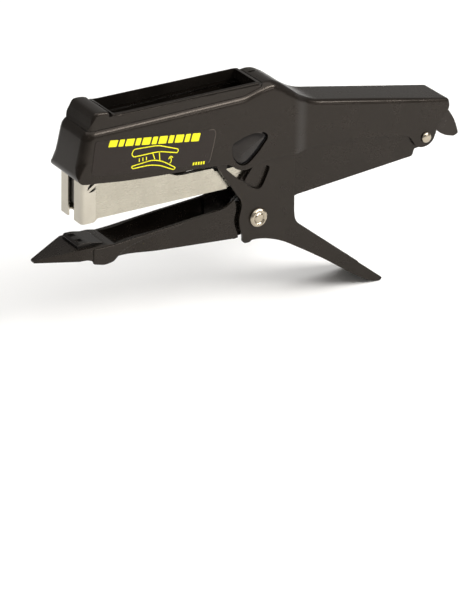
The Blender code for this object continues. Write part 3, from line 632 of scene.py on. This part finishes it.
def slope_to(ob, level):
    """Tilt the lowest faces so they run parallel with the roof."""
    for v in ob.data.vertices:
        x, y, z = back(v.co)
        if abs(z - level) < 0.01:
            v.co.z = at(0, 0, roof(x) - 1.3).z


RIM = [(-116.2, 80.6, 1), (-114.0, 86.6, 2), (-112.2, 89.2, 2.2), (-108.6, 89.4, 2.5),
       (-104.2, 88.8, 2.0), (-100.4, 86.6, 1.5), (-96.0, 86.3, 2), (-50.0, 86.65, 4),
       (-3.0, 87.0, 2)]


def loading_rim():
    lo, hi = span("loading_rim")
    x0, x1, half = lo[0], hi[0], hi[1]
    rim = pillow("rim_plinth",
                 [(x1, roof(x1) - 1.0, 0.1), (x0, roof(x0) - 1.0, 0.1)] + RIM + [(x1, 86.5, 0.8)],
                 half, lambda x, z: 1.8 if z > 84 else 0, 5, 1.5)
    corners = slab("corners", rounded_plan(x0, x1, half, 2.7), 70, 100)
    combine(rim, "INTERSECT", [corners])
    # shallow step that leaves a raised lip round the opening
    step = slab("step", rounded_plan(-103.6, x1 + 8, half + 3, 2.0), 85.55, 100)
    lip = slab("lip", rounded_plan(-101.6, -0.9, 13.25, 1.6), 80, 110)
    cut(step, lip)
    cut(rim, step)
    cut(rim, slab("mouth", rounded_plan(-99.8, -2.8, 11.8, 1.0), 60, 110))
    ease_edges(rim, 0.35, 3)
    return finish(rim, RIM_ENAMEL, "body", ["loading_rim"])


def pocket_inserts():
    """Glossy insert that bulges like a seed in the tear-shaped window, ridged along its length."""
    outline = shrunk(eased(TEAR, 3, 3), 0.32)
    ridge_a, ridge_b = (-14.4, 44.8), (0.4, 52.4)
    far, face = BOX_HALF - 1.95, BOX_HALF - 1.6
    rings = [[at(x, -far, z) for x, z in outline], [at(x, -face, z) for x, z in outline]]
    for k in range(1, 13):
        t = k / 12
        rise = 1.55 * t ** 0.8
        ring_points = []
        for x, z in outline:
            dx, dz = ridge_b[0] - ridge_a[0], ridge_b[1] - ridge_a[1]
            u = ((x - ridge_a[0]) * dx + (z - ridge_a[1]) * dz) / (dx * dx + dz * dz)
            u = min(max(u, 0.0), 1.0)
            cx, cz = ridge_a[0] + dx * u, ridge_a[1] + dz * u
            ring_points.append(at(x + (cx - x) * t * 0.985, -face - rise * (1 - 0.35 * u),
                                  z + (cz - z) * t * 0.985))
        rings.append(ring_points)
    left = skin("pocket_insert_dish_left", rings)
    right = doubled(left, "pocket_insert_dish_right")
    finish(left, GLOSS_BLACK, "body", ["pocket_insert_left"], 60)
    finish(right, GLOSS_BLACK, "body", ["pocket_insert_right"], 60)


# ------------------------------------------------------------------ label
LABEL_EDGE = [(-113.6, 73.2, 1.5), (-116.2, 54.2, 2), (-114.6, 51.9, 2), (-38.6, 43.4, 2.5),
              (-36.4, 45.2, 2.5), (-34.0, 55.0, 3), (-32.6, 62.0, 2.5), (-33.6, 64.8, 2.5)]


def stroke(name, path, width, y0, y1):
    """A line of even width drawn along a path."""
    pts = eased(path, 3, 4, False)
    half = ribbon(pts, width / 2)[len(pts):][::-1]
    other = ribbon(pts, -width / 2)[len(pts):]
    return plate(name, half + other, y0, y1)


def label():
    y = -BOX_HALF - 0.02
    sheet = plate("label_sheet", eased(LABEL_EDGE, 2), y - 0.14, y + 0.02)
    finish(sheet, LABEL, "body", ["label"])
    top = y - 0.14
    # A lighter line along the label's right edge only: a painted highlight where the edge of the label sheet
    # catches the light.
    rim_line = eased(LABEL_EDGE, 2)
    line = plate("label_edge_painted_highlight_line", rim_line, top - 0.03, top)
    cut(line, plate("x", shrunk(rim_line, 0.3), top - 1, top + 1),
        block("x", -130, -37.5, top - 1, top + 1, 30, 90))
    finish(line, LABEL_EDGE_HIGHLIGHT, "body")
    # a band of slanted dashes, a plain drawing of a squeezed tool, and a row of ticks
    dashes, x = [], 0.0
    for width in (5.6, 3.4, 5.6, 3.4, 5.6, 3.4, 5.6, 3.4, 5.6, 3.4, 5.6):
        dashes.append((x, width))
        x += width + 1.25
    run = x - 1.25
    bars = []
    for x, w in dashes:
        u, wu = x / run, w * 60.8 / run
        bx, bz, h, lean = -105.4 + 60.8 * u, 68.2 - 8.6 * u, 4.0 + 0.9 * u, 1.4
        drop = -0.1414 * wu
        bar = [(bx, bz), (bx + wu, bz + drop), (bx + wu + lean, bz + drop + h),
               (bx + lean, bz + h)]
        bars.append(plate("dash", eased(bar, 0.5, 2), top - 0.05, top))
    finish(gathered("label_dash_band", bars), INK, "body")
    tool = [[(-89.6, 60.6), (-88.4, 63.4), (-72.0, 62.6), (-58.2, 57.4), (-58.8, 55.2),
             (-71.4, 58.6), (-88.6, 58.6), (-89.6, 60.6)],
            [(-89.8, 53.0), (-75.4, 54.2), (-68.6, 51.8), (-60.0, 46.0), (-61.4, 45.0),
             (-70.4, 49.6), (-77.6, 51.4), (-89.2, 51.4), (-89.8, 53.0)],
            [(-75.6, 58.4), (-74.2, 54.4)], [(-71.2, 58.4), (-70.8, 52.8)],
            [(-63.6, 53.8), (-62.8, 51.2), (-63.8, 49.6)],
            [(-64.8, 52.4), (-63.6, 54.2), (-61.9, 52.9)],
            [(-84.6, 57.0), (-84.6, 54.8)], [(-82.2, 57.0), (-82.2, 54.8)],
            [(-79.8, 57.0), (-79.8, 54.8)]]
    lines = [stroke("tool_line", path, 0.6, top - 0.05, top) for path in tool]
    finish(gathered("label_tool_drawing", lines), INK, "body")
    ticks = []
    for k in range(5):
        x0, z0 = -48.4 + k * 1.75, 45.0 - k * 0.2
        ticks.append(plate("tick", [(x0, z0), (x0 + 1.1, z0 - 0.12), (x0 + 1.4, z0 + 1.7),
                                    (x0 + 0.3, z0 + 1.8)], top - 0.05, top))
    finish(gathered("label_ticks", ticks), INK, "body")


# ------------------------------------------------------------------ lower lever
PIN = (-22.0, 48.0)
ARM = [(-33.4, 47.0, 3), (-31.8, 41.8, 3), (-28.8, 37.2, 4), (-24.8, 31.4, 4), (-20.6, 25.8, 4),
       (-16.6, 19.6, 4), (-12.2, 13.6, 4), (-11.5, 9.6, 3), (-13.4, 1.6, 4), (-12.6, -4.6, 3),
       (-10.4, -10.6, 2), (-10.6, -13.6, 1), (-9.0, -15.2, 1), (-5.4, -15.2, 0.8),
       (-4.0, -14.0, 0.8), (0.5, -14.2), (6.0, -15.2), (13.0, -17.4), (20.0, -20.6, 6),
       (35.0, -29.8, 6), (50.7, -39.8, 6), (65.0, -49.9, 6), (79.9, -59.4, 4), (87.1, -62.7, 3),
       (91.3, -63.2, 1), (93.1, -61.4, 1), (60.0, -35.2), (29.4, -10.9, 2.5), (26.8, -7.4, 2.5),
       (25.9, -2.0, 4), (25.6, 8.7), (25.0, 36.0, 1), (22.0, 40.5, 1), (-3.6, 40.0, 1),
       (-4.5, 34.2, 1), (-10.0, 26.3, 0.6), (-9.4, 24.8, 0.6), (-6.4, 23.2, 0.8),
       (-1.9, 22.4, 0.6), (-0.2, 25.4, 1), (2.5, 32.2, 1), (4.4, 33.0, 0.8), (6.6, 32.4, 0.8),
       (7.4, 30.6, 1), (5.0, 24.8, 2), (2.5, 19.8, 1.6), (0.6, 18.3, 1.2), (-2.0, 18.7, 1.4),
       (-6.5, 21.2, 2), (-10.6, 24.7, 1), (-13.6, 27.0, 0.5), (-19.0, 31.9, 3),
       (-23.2, 35.8, 0.5), (-22.2, 38.8, 0.5), (-17.4, 42.2, 0.5)]
FOLD = [(-1.2, -14.0), (0.5, -14.2), (6.0, -15.2), (13.0, -17.4), (20.0, -20.6), (35.0, -29.8),
        (50.7, -39.8), (65.0, -49.9), (79.9, -59.4), (87.1, -62.7), (91.3, -63.2)]


def lower_lever():
    w, t = LEVER_HALF, LEVER_SHEET
    outline = eased(ARM, 3, 4)
    outline += arc(PIN, 6.6, -35, 160, 22)
    lever = plate("lever_plates", outline, -w, -w + t)
    join(lever, plate("far", outline, w - t, w),
         plate("fold", ribbon(eased(FOLD, 4, 3, False), t), -w + 0.2, w - 0.2))
    cut(lever, spun("bore", MAIN, [(-THROUGH, MAIN_BORE), (THROUGH, MAIN_BORE)], 40),
        spun("bore", PIN, [(-THROUGH, PIN_BORE), (THROUGH, PIN_BORE)], 32))
    clean(lever)
    low = eased(FOLD, 4, 3, False)

    def outer_fold(p, q):
        near = [min(hypot(a[0] - b[0], a[2] - b[1]) for b in low) < 0.08 for a in (p, q)]
        return on_face(p, q, w) and all(near) and min(p[0], q[0]) > 0.6 and max(p[0], q[0]) < 88
    bevel_edges(lever, 1.5, 5, outer_fold)
    ease_edges(lever, 0.3, 2)
    return finish(lever, LEVER_ENAMEL, "lever", ["lower_lever"])


# ------------------------------------------------------------------ jaw frame
TAIL = [(-30.0, -8.8, 0), (-30.0, 9.0, 0), (-22.3, 9.7, 3), (-16.6, 13.0, 3), (-13.6, 18.0, 3),
        (-13.0, 25.4, 1), (-7.6, 31.8), (-5.0, 34.6), (-2.0, 39.4, 1), (49.0, 39.4), (58.0, 42.0),
        (96.0, 40.6),
        (112.0, 36.0), (120.8, 33.6), (126.0, 31.0), (127.0, 26.4), (125.0, 22.6), (120.0, 20.8),
        (113.9, 20.3, 0.5), (112.3, 15.7, 1), (70.0, 11.8), (26.8, 7.9, 2), (20.0, 0.5),
        (10.2, -7.8), (2.0, -10.0), (-8.0, -10.6), (-15.2, -11.6, 0.5)]
WALL = [(-104.0, -7.6, 0), (-104.0, 2.6, 0), (-98.0, 3.2), (-85.2, 4.3, 5), (-52.5, 7.2, 6),
        (-29.0, 9.08, 0), (-29.0, -10.3, 0), (-98.8, -4.6)]
FLOOR = [(-100.0, -4.8), (-60.0, -8.0), (-15.2, -11.6)]
NOSE = [(-146.0, -0.6, 0.4), (-146.0, -2.0, 0.4), (-117.0, -2.6), (-113.6, -3.4, 2),
        (-110.0, -6.6, 2), (-104.6, -8.4, 2.5), (-98.2, -7.4, 2.5), (-95.4, -4.9, 2),
        (-96.6, 3.3, 1), (-103.0, 4.6, 1), (-122.0, 4.6, 0.5), (-126.0, 3.8), (-136.0, 1.6)]


LIP = [(-112.0, -6.2, 1), (-104.6, -8.2, 2), (-98.6, -7.4, 2), (-95.2, -4.4, 3), (-91.4, -1.4, 4),
       (-82.4, 1.2, 4), (-70.0, 3.4, 4), (-52.0, 6.2, 1), (-52.0, 7.15, 0.2), (-85.2, 4.35, 4),
       (-98.0, 3.3, 3), (-112.0, 3.3, 1)]


RAMP = [(-106.0, 3.4, 0.2), (-98.0, 2.6, 6), (-86.0, -1.8, 8), (-68.0, -6.2, 4), (-58.0, -7.2, 0.2),
        (-58.0, -8.0, 0.2), (-100.0, -4.6, 0.2), (-106.0, -4.4, 0.2)]


def pinch(ob):
    """Draw the walls in behind the nose, where the pressing is pinched."""
    for v in ob.data.vertices:
        x, y, z = back(v.co)
        if -99.0 < x < -66.0 and abs(y) > 6:
            f = sin(pi * ((x + 99.0) / 33.0) ** 0.7) ** 2
            v.co.y -= (1 if y > 0 else -1) * 1.7 * f * MM


def jaw_frame():
    w, t = JAW_HALF, SHEET
    jaw = plate("jaw_pressing", eased(NOSE, 2, 3), -w, w)
    for s in (-1, 1):
        cut(jaw, slab("x", [(-150, s * 40), (-121, s * 40), (-121, s * (w + 0.001)),
                            (-146.2, s * 1.6), (-150, s * 1.6)], -THROUGH, THROUGH))
    for a, b in both_sides(w - t, w):
        wall = plate("wall", eased(WALL, 3, 3), a, b)
        join(jaw, wall, plate("tail", eased(TAIL, 3, 3), a, b))
    join(jaw, plate("ramp", eased(RAMP, 6, 5), -w + 0.5, w - 0.5))
    join(jaw, plate("floor", ribbon(eased(FLOOR, 5, 3, False), 1.6), -w + 0.4, w - 0.4))
    cut(jaw, spun("bore", MAIN, [(-THROUGH, MAIN_BORE), (THROUGH, MAIN_BORE)], 40),
        spun("bore", REAR, [(-THROUGH, REAR_BORE), (THROUGH, REAR_BORE)], 32),
        block("seat", -121.3, -103.7, -9.3, 9.3, 3.4, 9))
    slot = eased([(-17.0, 16.5, 1), (-15.0, 12.0, 3), (-14.2, 6.4, 3), (-16.2, 1.0, 3),
                  (-14.6, -5.0, 2), (-13.0, -8.6, 1), (-12.0, -14.0, 1), (-8.0, -14.0, 1),
                  (-8.0, 16.5, 1)])
    cut(jaw, plate("slot", slot, -20, -w + t + 0.2), plate("slot", slot, w - t - 0.2, 20))
    for a, b in both_sides(8.7, w - t - 0.05):
        liner = plate("liner", eased([(-24.0, -11.0), (-24.0, 8.0), (-16.0, 11.4),
                                      (-6.0, 11.4), (-6.0, 5.0), (-6.0, -10.6)], 1), a, b)
        join(jaw, liner)
    clean(jaw)
    slice_at(jaw, [-99 + 2.2 * k for k in range(16)])
    pinch(jaw)
    for s in (-1, 1):
        roll = pillow("roll", LIP, 0.9, lambda x, z: 0.5, 4)
        for v in roll.data.vertices:
            v.co.y += s * (w - 0.25) * MM
            x, y, z = back(v.co)
            if -99.0 < x < -66.0:
                v.co.y -= s * 0.5 * sin(pi * ((x + 99.0) / 33.0) ** 0.7) ** 2 * MM
        join(jaw, roll)
    ease_edges(jaw, 0.35, 2)
    return finish(jaw, JAW_ENAMEL, "jaw", ["jaw_frame"])


def anvil():
    lo, hi = span("anvil")
    a = plate("anvil_block", eased([(lo[0], lo[2], 0.2), (lo[0], hi[2] - 1.2, 0.5),
                                    (lo[0] + 1.0, hi[2], 0.7), (lo[0] + 5.6, hi[2], 3),
                                    (hi[0], lo[2] + 1.3, 0.5), (hi[0], lo[2], 0.2)], 1, 4),
              lo[1], hi[1])
    for y in (-4.2, 4.2):
        pit = eased([(lo[0] + 0.9, hi[2] + 1.0), (lo[0] + 1.5, hi[2] - 1.0, 0.8),
                     (lo[0] + 3.2, hi[2] - 1.4, 1), (lo[0] + 4.9, hi[2] - 1.0, 0.8),
                     (lo[0] + 5.6, hi[2] + 1.0)], 1, 5)
        cut(a, plate("pit", pit, y - 2.0, y + 2.0))
    ease_edges(a, 0.22, 3)
    return finish(a, ANVIL_BLACK, "jaw", ["anvil"])


# ------------------------------------------------------------------ rivets
def main_rivet():
    y = LEVER_HALF + 0.3
    profile = [(-y - 1.55, 0), (-y - 1.6, 1.4), (-y - 1.75, 2.2), (-y - 1.45, 2.75),
               (-y - 1.2, 3.1), (-y - 1.5, 3.5), (-y - 1.95, 4.1), (-y - 1.9, 4.9),
               (-y - 1.35, 5.6), (-y - 0.6, 6.0), (-y, 6.1), (-y, 4.0), (y, 4.0), (y, 6.1),
               (y + 0.7, 6.05), (y + 1.2, 5.5), (y + 1.6, 4.5), (y + 1.9, 3.2), (y + 2.05, 1.6),
               (y + 2.1, 0)]
    r = spun("main_rivet_peened", MAIN, profile, 72)
    # three hammer flats where the peened head was set
    for v in r.data.vertices:
        x, yy, z = back(v.co)
        rad = hypot(x, z)
        if yy < -y - 0.9 and 2.0 < rad < 5.6:
            lobe = max(0.0, sin(3 * radians(40) + 3 * (0.5 * pi - atan2(z, x))))
            v.co.y += 0.28 * lobe * MM
    return finish(r, RIVET, "jaw", ["main_rivet"], 60)


def rear_rivet():
    y = HANDLE_HALF + 0.3
    half = [(y, 2.4), (y, 3.4), (y + 0.45, 3.38), (y + 0.95, 3.05), (y + 1.3, 2.4),
            (y + 1.55, 1.4), (y + 1.62, 0)]
    r = spun("rear_rivet_domed", REAR, [(-a, b) for a, b in half[::-1]] + half, 48)
    return finish(r, RIVET, "jaw", ["rear_rivet"], 60)


def claw():
    lo, hi = span("claw")
    path = [(125.0, 45.6), (133.0, 44.6, 4), (138.6, 42.4, 4), (143.7, 37.0, 5), (148.5, 29.7, 5),
            (151.6, 20.6, 1.0), (148.4, 19.0, 1.2), (141.4, 20.9, 3), (135.6, 24.6, 3),
            (131.6, 31.0, 3), (128.6, 37.6, 3), (125.0, 39.6)]
    c = plate("claw_horn", eased(path, 3, 4), lo[1], hi[1])
    cut(c, slab("vee", [(142.0, 0.0), (160.0, -3.4), (160.0, 3.4)], 0, 60))
    ease_edges(c, 0.8, 4)
    return finish(c, CLAW_BLACK, "body", ["claw"])


# ------------------------------------------------------------------ magazine
def magazine():
    t, w, r = MAG_SHEET, MAG_HALF, MAG_REAR_HALF
    x0, foot_z = span("magazine")[0][0], span("magazine")[0][2]
    z0 = MAG_FLOOR_Z
    front = [(x0, z0), (x0, 49.5), (-110.0, 49.0), (-72.0, 45.6, 5), (-56.0, 37.8, 4),
             (-31.2, 37.4, 0.5), (-27.4, 30.8, 4), (-22.4, 25.0, 4), (-21.0, z0, 0.5)]
    back_wall = [(-30.4, z0), (-30.4, 34.4), (24.0, 34.4, 4), (31.6, 46.0, 3)] + \
        arc(side("magazine_lift"), 5.0, 180, -20, 16) + [(41.0, 44.0), (41.0, z0)]
    foot = [(x0, foot_z), (x0, z0 + 1), (x0 + 10.8, z0 + 1), (x0 + 8.2, foot_z, 1)]
    mag = block("magazine_channel", x0, -21.2, -w + 0.15, w - 0.15, z0, z0 + t)
    cut(mag, block("x", x0 - 1.0, x0 + 3.6, -7.4, 7.4, 10, 40))
    join(mag, block("b", -30.2, 41.0, -r + 0.15, r - 0.15, z0 + 0.02, z0 + t))
    for k in (0, 1):
        a, b = both_sides(w - t, w)[k]
        join(mag, plate("wall", eased(front, 2, 4), a, b), plate("foot", eased(foot, 1, 3), a, b))
        a, b = both_sides(r - t, r)[k]
        join(mag, plate("rear_wall", back_wall, a, b))
        a, b = both_sides(r - t + 0.2, w - 0.1)[k]
        join(mag, block("web", -30.1, -28.6, a, b, z0 + 0.1, 31.6))
    join(mag, block("e", 39.6, 40.98, -r + 0.15, r - 0.15, z0 + 0.05, 35.6))
    cut(mag, spun("bore", side("magazine_lift"), [(-THROUGH, 2.3), (THROUGH, 2.3)], 32))
    hole = spun("bore", (0, 0), [(0, 1.3), (15, 1.3)], 24)
    for v in hole.data.vertices:
        x, y, z = back(v.co)
        v.co = at(30 + y, x, ROD_Z + z)
    cut(mag, clean(hole))
    for a, b in both_sides(w - 1.6, w + 1):
        cut(mag, plate("lug_hole", eased(LUG_HOLE, 1, 4), a, b))
    ease_edges(mag, 0.25, 2)
    return finish(mag, NICKEL, "magazine", ["magazine"])


LUG_HOLE = [(-117.0, 40.6, 1), (-116.4, 44.6, 1.5), (-112.4, 46.9, 1.5), (-109.4, 45.6, 1.5),
            (-110.4, 42.2, 1.5), (-113.6, 40.4, 1.5)]
LUG = [(-117.4, 41.4, 0.4), (-116.4, 40.2, 0.4), (-109.6, 44.6, 0.6), (-110.2, 46.6, 0.6)]


def nose_plate():
    x0, x1 = NOSE_LO[0], NOSE_LO[0] + 1.2
    z0, z1 = NOSE_LO[2], NOSE_HI[2]
    w = NOSE_HI[1]
    end = -110.9
    nose = block("nose_flanges", x0 + 0.02, x1 - 0.02, -4.5, 4.5, 46.5, z1)
    for s in (-1, 1):
        plan = [(end, s * w), (x0, s * w, 2.3), (x0, s * 3.5, 0.3), (x1, s * 3.5, 0.3),
                (x1, s * (w - 1.0), 1.2), (end, s * (w - 1.0))]
        cheek = slab("cheek", eased(plan, 1, 6), z0, z1 - 0.02)
        cut(cheek, plate("x", [(-113.0, z0 - 1), (-113.0, z0), (-112.0, z0 + 0.3),
                               (-111.1, z0 + 1.4), (end - 0.05, z0 + 3), (end + 1, z0 + 3),
                               (end + 1, z0 - 1)], -THROUGH, THROUGH))
        a, b = sorted((s * (w - 1.6), s * (w + 1)))
        cut(cheek, plate("lug_hole", eased(LUG_HOLE, 1, 4), a, b))
        a, b = sorted((s * (w - 0.9), s * (w - 0.1)))
        join(cheek, plate("lug", eased(LUG, 0.5, 3), a, b))
        join(nose, cheek)
    ease_edges(nose, 0.25, 3)
    return finish(nose, NOSE_NICKEL, "magazine", ["nose_plate"])


# ------------------------------------------------------------------ inner parts kept from the frame
KEPT = {"thrust_pin": STEEL, "thrust_saddle": STEEL, "driver_blade": BLADE, "driver_clamp": STEEL,
        "magazine_pin": STEEL, "main_sleeve": STEEL, "rear_sleeve": STEEL, "staple_core": STEEL,
        "pusher_rod": STEEL, "clamp_screw": RIVET, "return_spring": SPRING,
        "magazine_spring": SPRING, "pusher": PUSHER}


def inner_parts():
    for node, material in KEPT.items():
        ob = frame["nodes"][node]
        for slot in ob.material_slots:
            slot.material = material


def pusher_spring():
    """Long coil on the rod, carried with the magazine."""
    lo, hi = span("pusher_spring")
    rod_z = (lo[2] + hi[2]) / 2
    wire, turns, per_turn, sides = 0.3, 40, 10, 6
    mean = (hi[2] - lo[2]) / 2 - wire
    a, b = lo[0] + wire, hi[0] - wire
    rings = []
    for k in range(turns * per_turn + 1):
        turn = 2 * pi * k / per_turn
        x = a + (b - a) * k / (turns * per_turn)
        rings.append([at(x + wire * sin(2 * pi * j / sides),
                         (mean + wire * cos(2 * pi * j / sides)) * cos(turn),
                         rod_z + (mean + wire * cos(2 * pi * j / sides)) * sin(turn))
                      for j in range(sides)])
    coil = skin("pusher_spring_coil", rings)
    finish(coil, SPRING, "magazine", ["pusher_spring"], 60)
    travel = JOINTS["pusher_slide"]["range_m"][1] / MM
    at(b, 0, rod_z)
    (b - a - travel) / (b - a)
    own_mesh(coil)


# ------------------------------------------------------------------ stage, light and camera
def stage():
    bpy.ops.object.select_all(action="DESELECT")
    bpy.ops.mesh.primitive_plane_add(size=8.0, location=(0, 0, 0))
    floor = named("studio_floor")
    f = Finish("studio_floor")
    fleck = f.noise(3, 3, 0.5)
    f.set(Base_Color=f.mix(fleck, rgb(0.90, 0.90, 0.895), rgb(0.93, 0.93, 0.925)), Roughness=0.7)
    floor.data.materials.append(f.material)


def lamp(name, place, target, size, power, colour=(1, 1, 1)):
    light = bpy.data.lights.new(name, "AREA")
    light.shape, light.size, light.size_y = "RECTANGLE", size[0], size[1]
    light.energy, light.color = power, colour
    ob = bpy.data.objects.new(name, light)
    bpy.context.scene.collection.objects.link(ob)
    ob.location = place
    ob.rotation_euler = (Vector(target) - Vector(place)).to_track_quat("-Z", "Y").to_euler()


def lighting():
    world = bpy.data.worlds.new("studio")
    bpy.context.scene.world = world
    world.use_nodes = True
    ground = world.node_tree.nodes["Background"]
    ground.inputs["Color"].default_value = rgb(1.0, 0.97, 0.93)
    ground.inputs["Strength"].default_value = 0.36
    aim = (0, 0, 0.08)
    lamp("overhead", (-0.1, -0.1, 1.5), aim, (2.6, 1.8), 29.0)
    lamp("key", (-0.75, -0.9, 0.75), aim, (0.4, 0.4), 0.4, (1.0, 0.97, 0.93))
    lamp("low_soft_box", (0.62, -1.02, 0.36), (-0.01, -0.016, 0.11), (0.35, 0.22), 1.6,
         (1.0, 0.98, 0.95))
    lamp("edge_soft_box", (0.45, -0.60, 0.68), (-0.05, -0.016, 0.135), (0.7, 0.14), 8.0,
         (1.0, 0.98, 0.95))
    bpy.context.scene.view_settings.view_transform = "Standard"


FOCAL = 3268.7  # focal length as a count of image rows
IMAGE_LONG = 600.0
SENSOR = 36.0
AIM = Vector((-0.00468, 0.0, 0.08919))
DISTANCE = 1.950
AZIMUTH, ELEVATION, ROLL = -32.858, 23.677, 1.626
AIM_RIGHT, AIM_UP = -8.0, -130.0


def camera():
    az, el, roll = radians(AZIMUTH), radians(ELEVATION), radians(ROLL)
    b = Vector((sin(az) * cos(el), -cos(az) * cos(el), sin(el)))
    right = Vector((cos(az), sin(az), 0.0))
    up = b.cross(right)
    r = right * cos(roll) + up * sin(roll)
    u = -right * sin(roll) + up * cos(roll)
    look = (-b + u * (AIM_UP / FOCAL) + r * (AIM_RIGHT / FOCAL)).normalized()
    back_axis = -look
    right_axis = (r - back_axis * r.dot(back_axis)).normalized()
    up_axis = back_axis.cross(right_axis)
    data = bpy.data.cameras.new("camera")
    data.sensor_fit, data.sensor_width, data.sensor_height = "AUTO", SENSOR, SENSOR
    data.lens = FOCAL * SENSOR / IMAGE_LONG
    data.clip_end = 50
    cam = bpy.data.objects.new("camera", data)
    bpy.context.scene.collection.objects.link(cam)
    m = Matrix((right_axis, up_axis, back_axis)).transposed().to_4x4()
    m.translation = AIM + b * DISTANCE
    cam.matrix_world = m
    bpy.context.scene.camera = cam


body_shell()
loading_rim()
pocket_inserts()
label()
lower_lever()
jaw_frame()
anvil()
main_rivet()
rear_rivet()
claw()
magazine()
nose_plate()
inner_parts()
pusher_spring()
stage()
lighting()
camera()
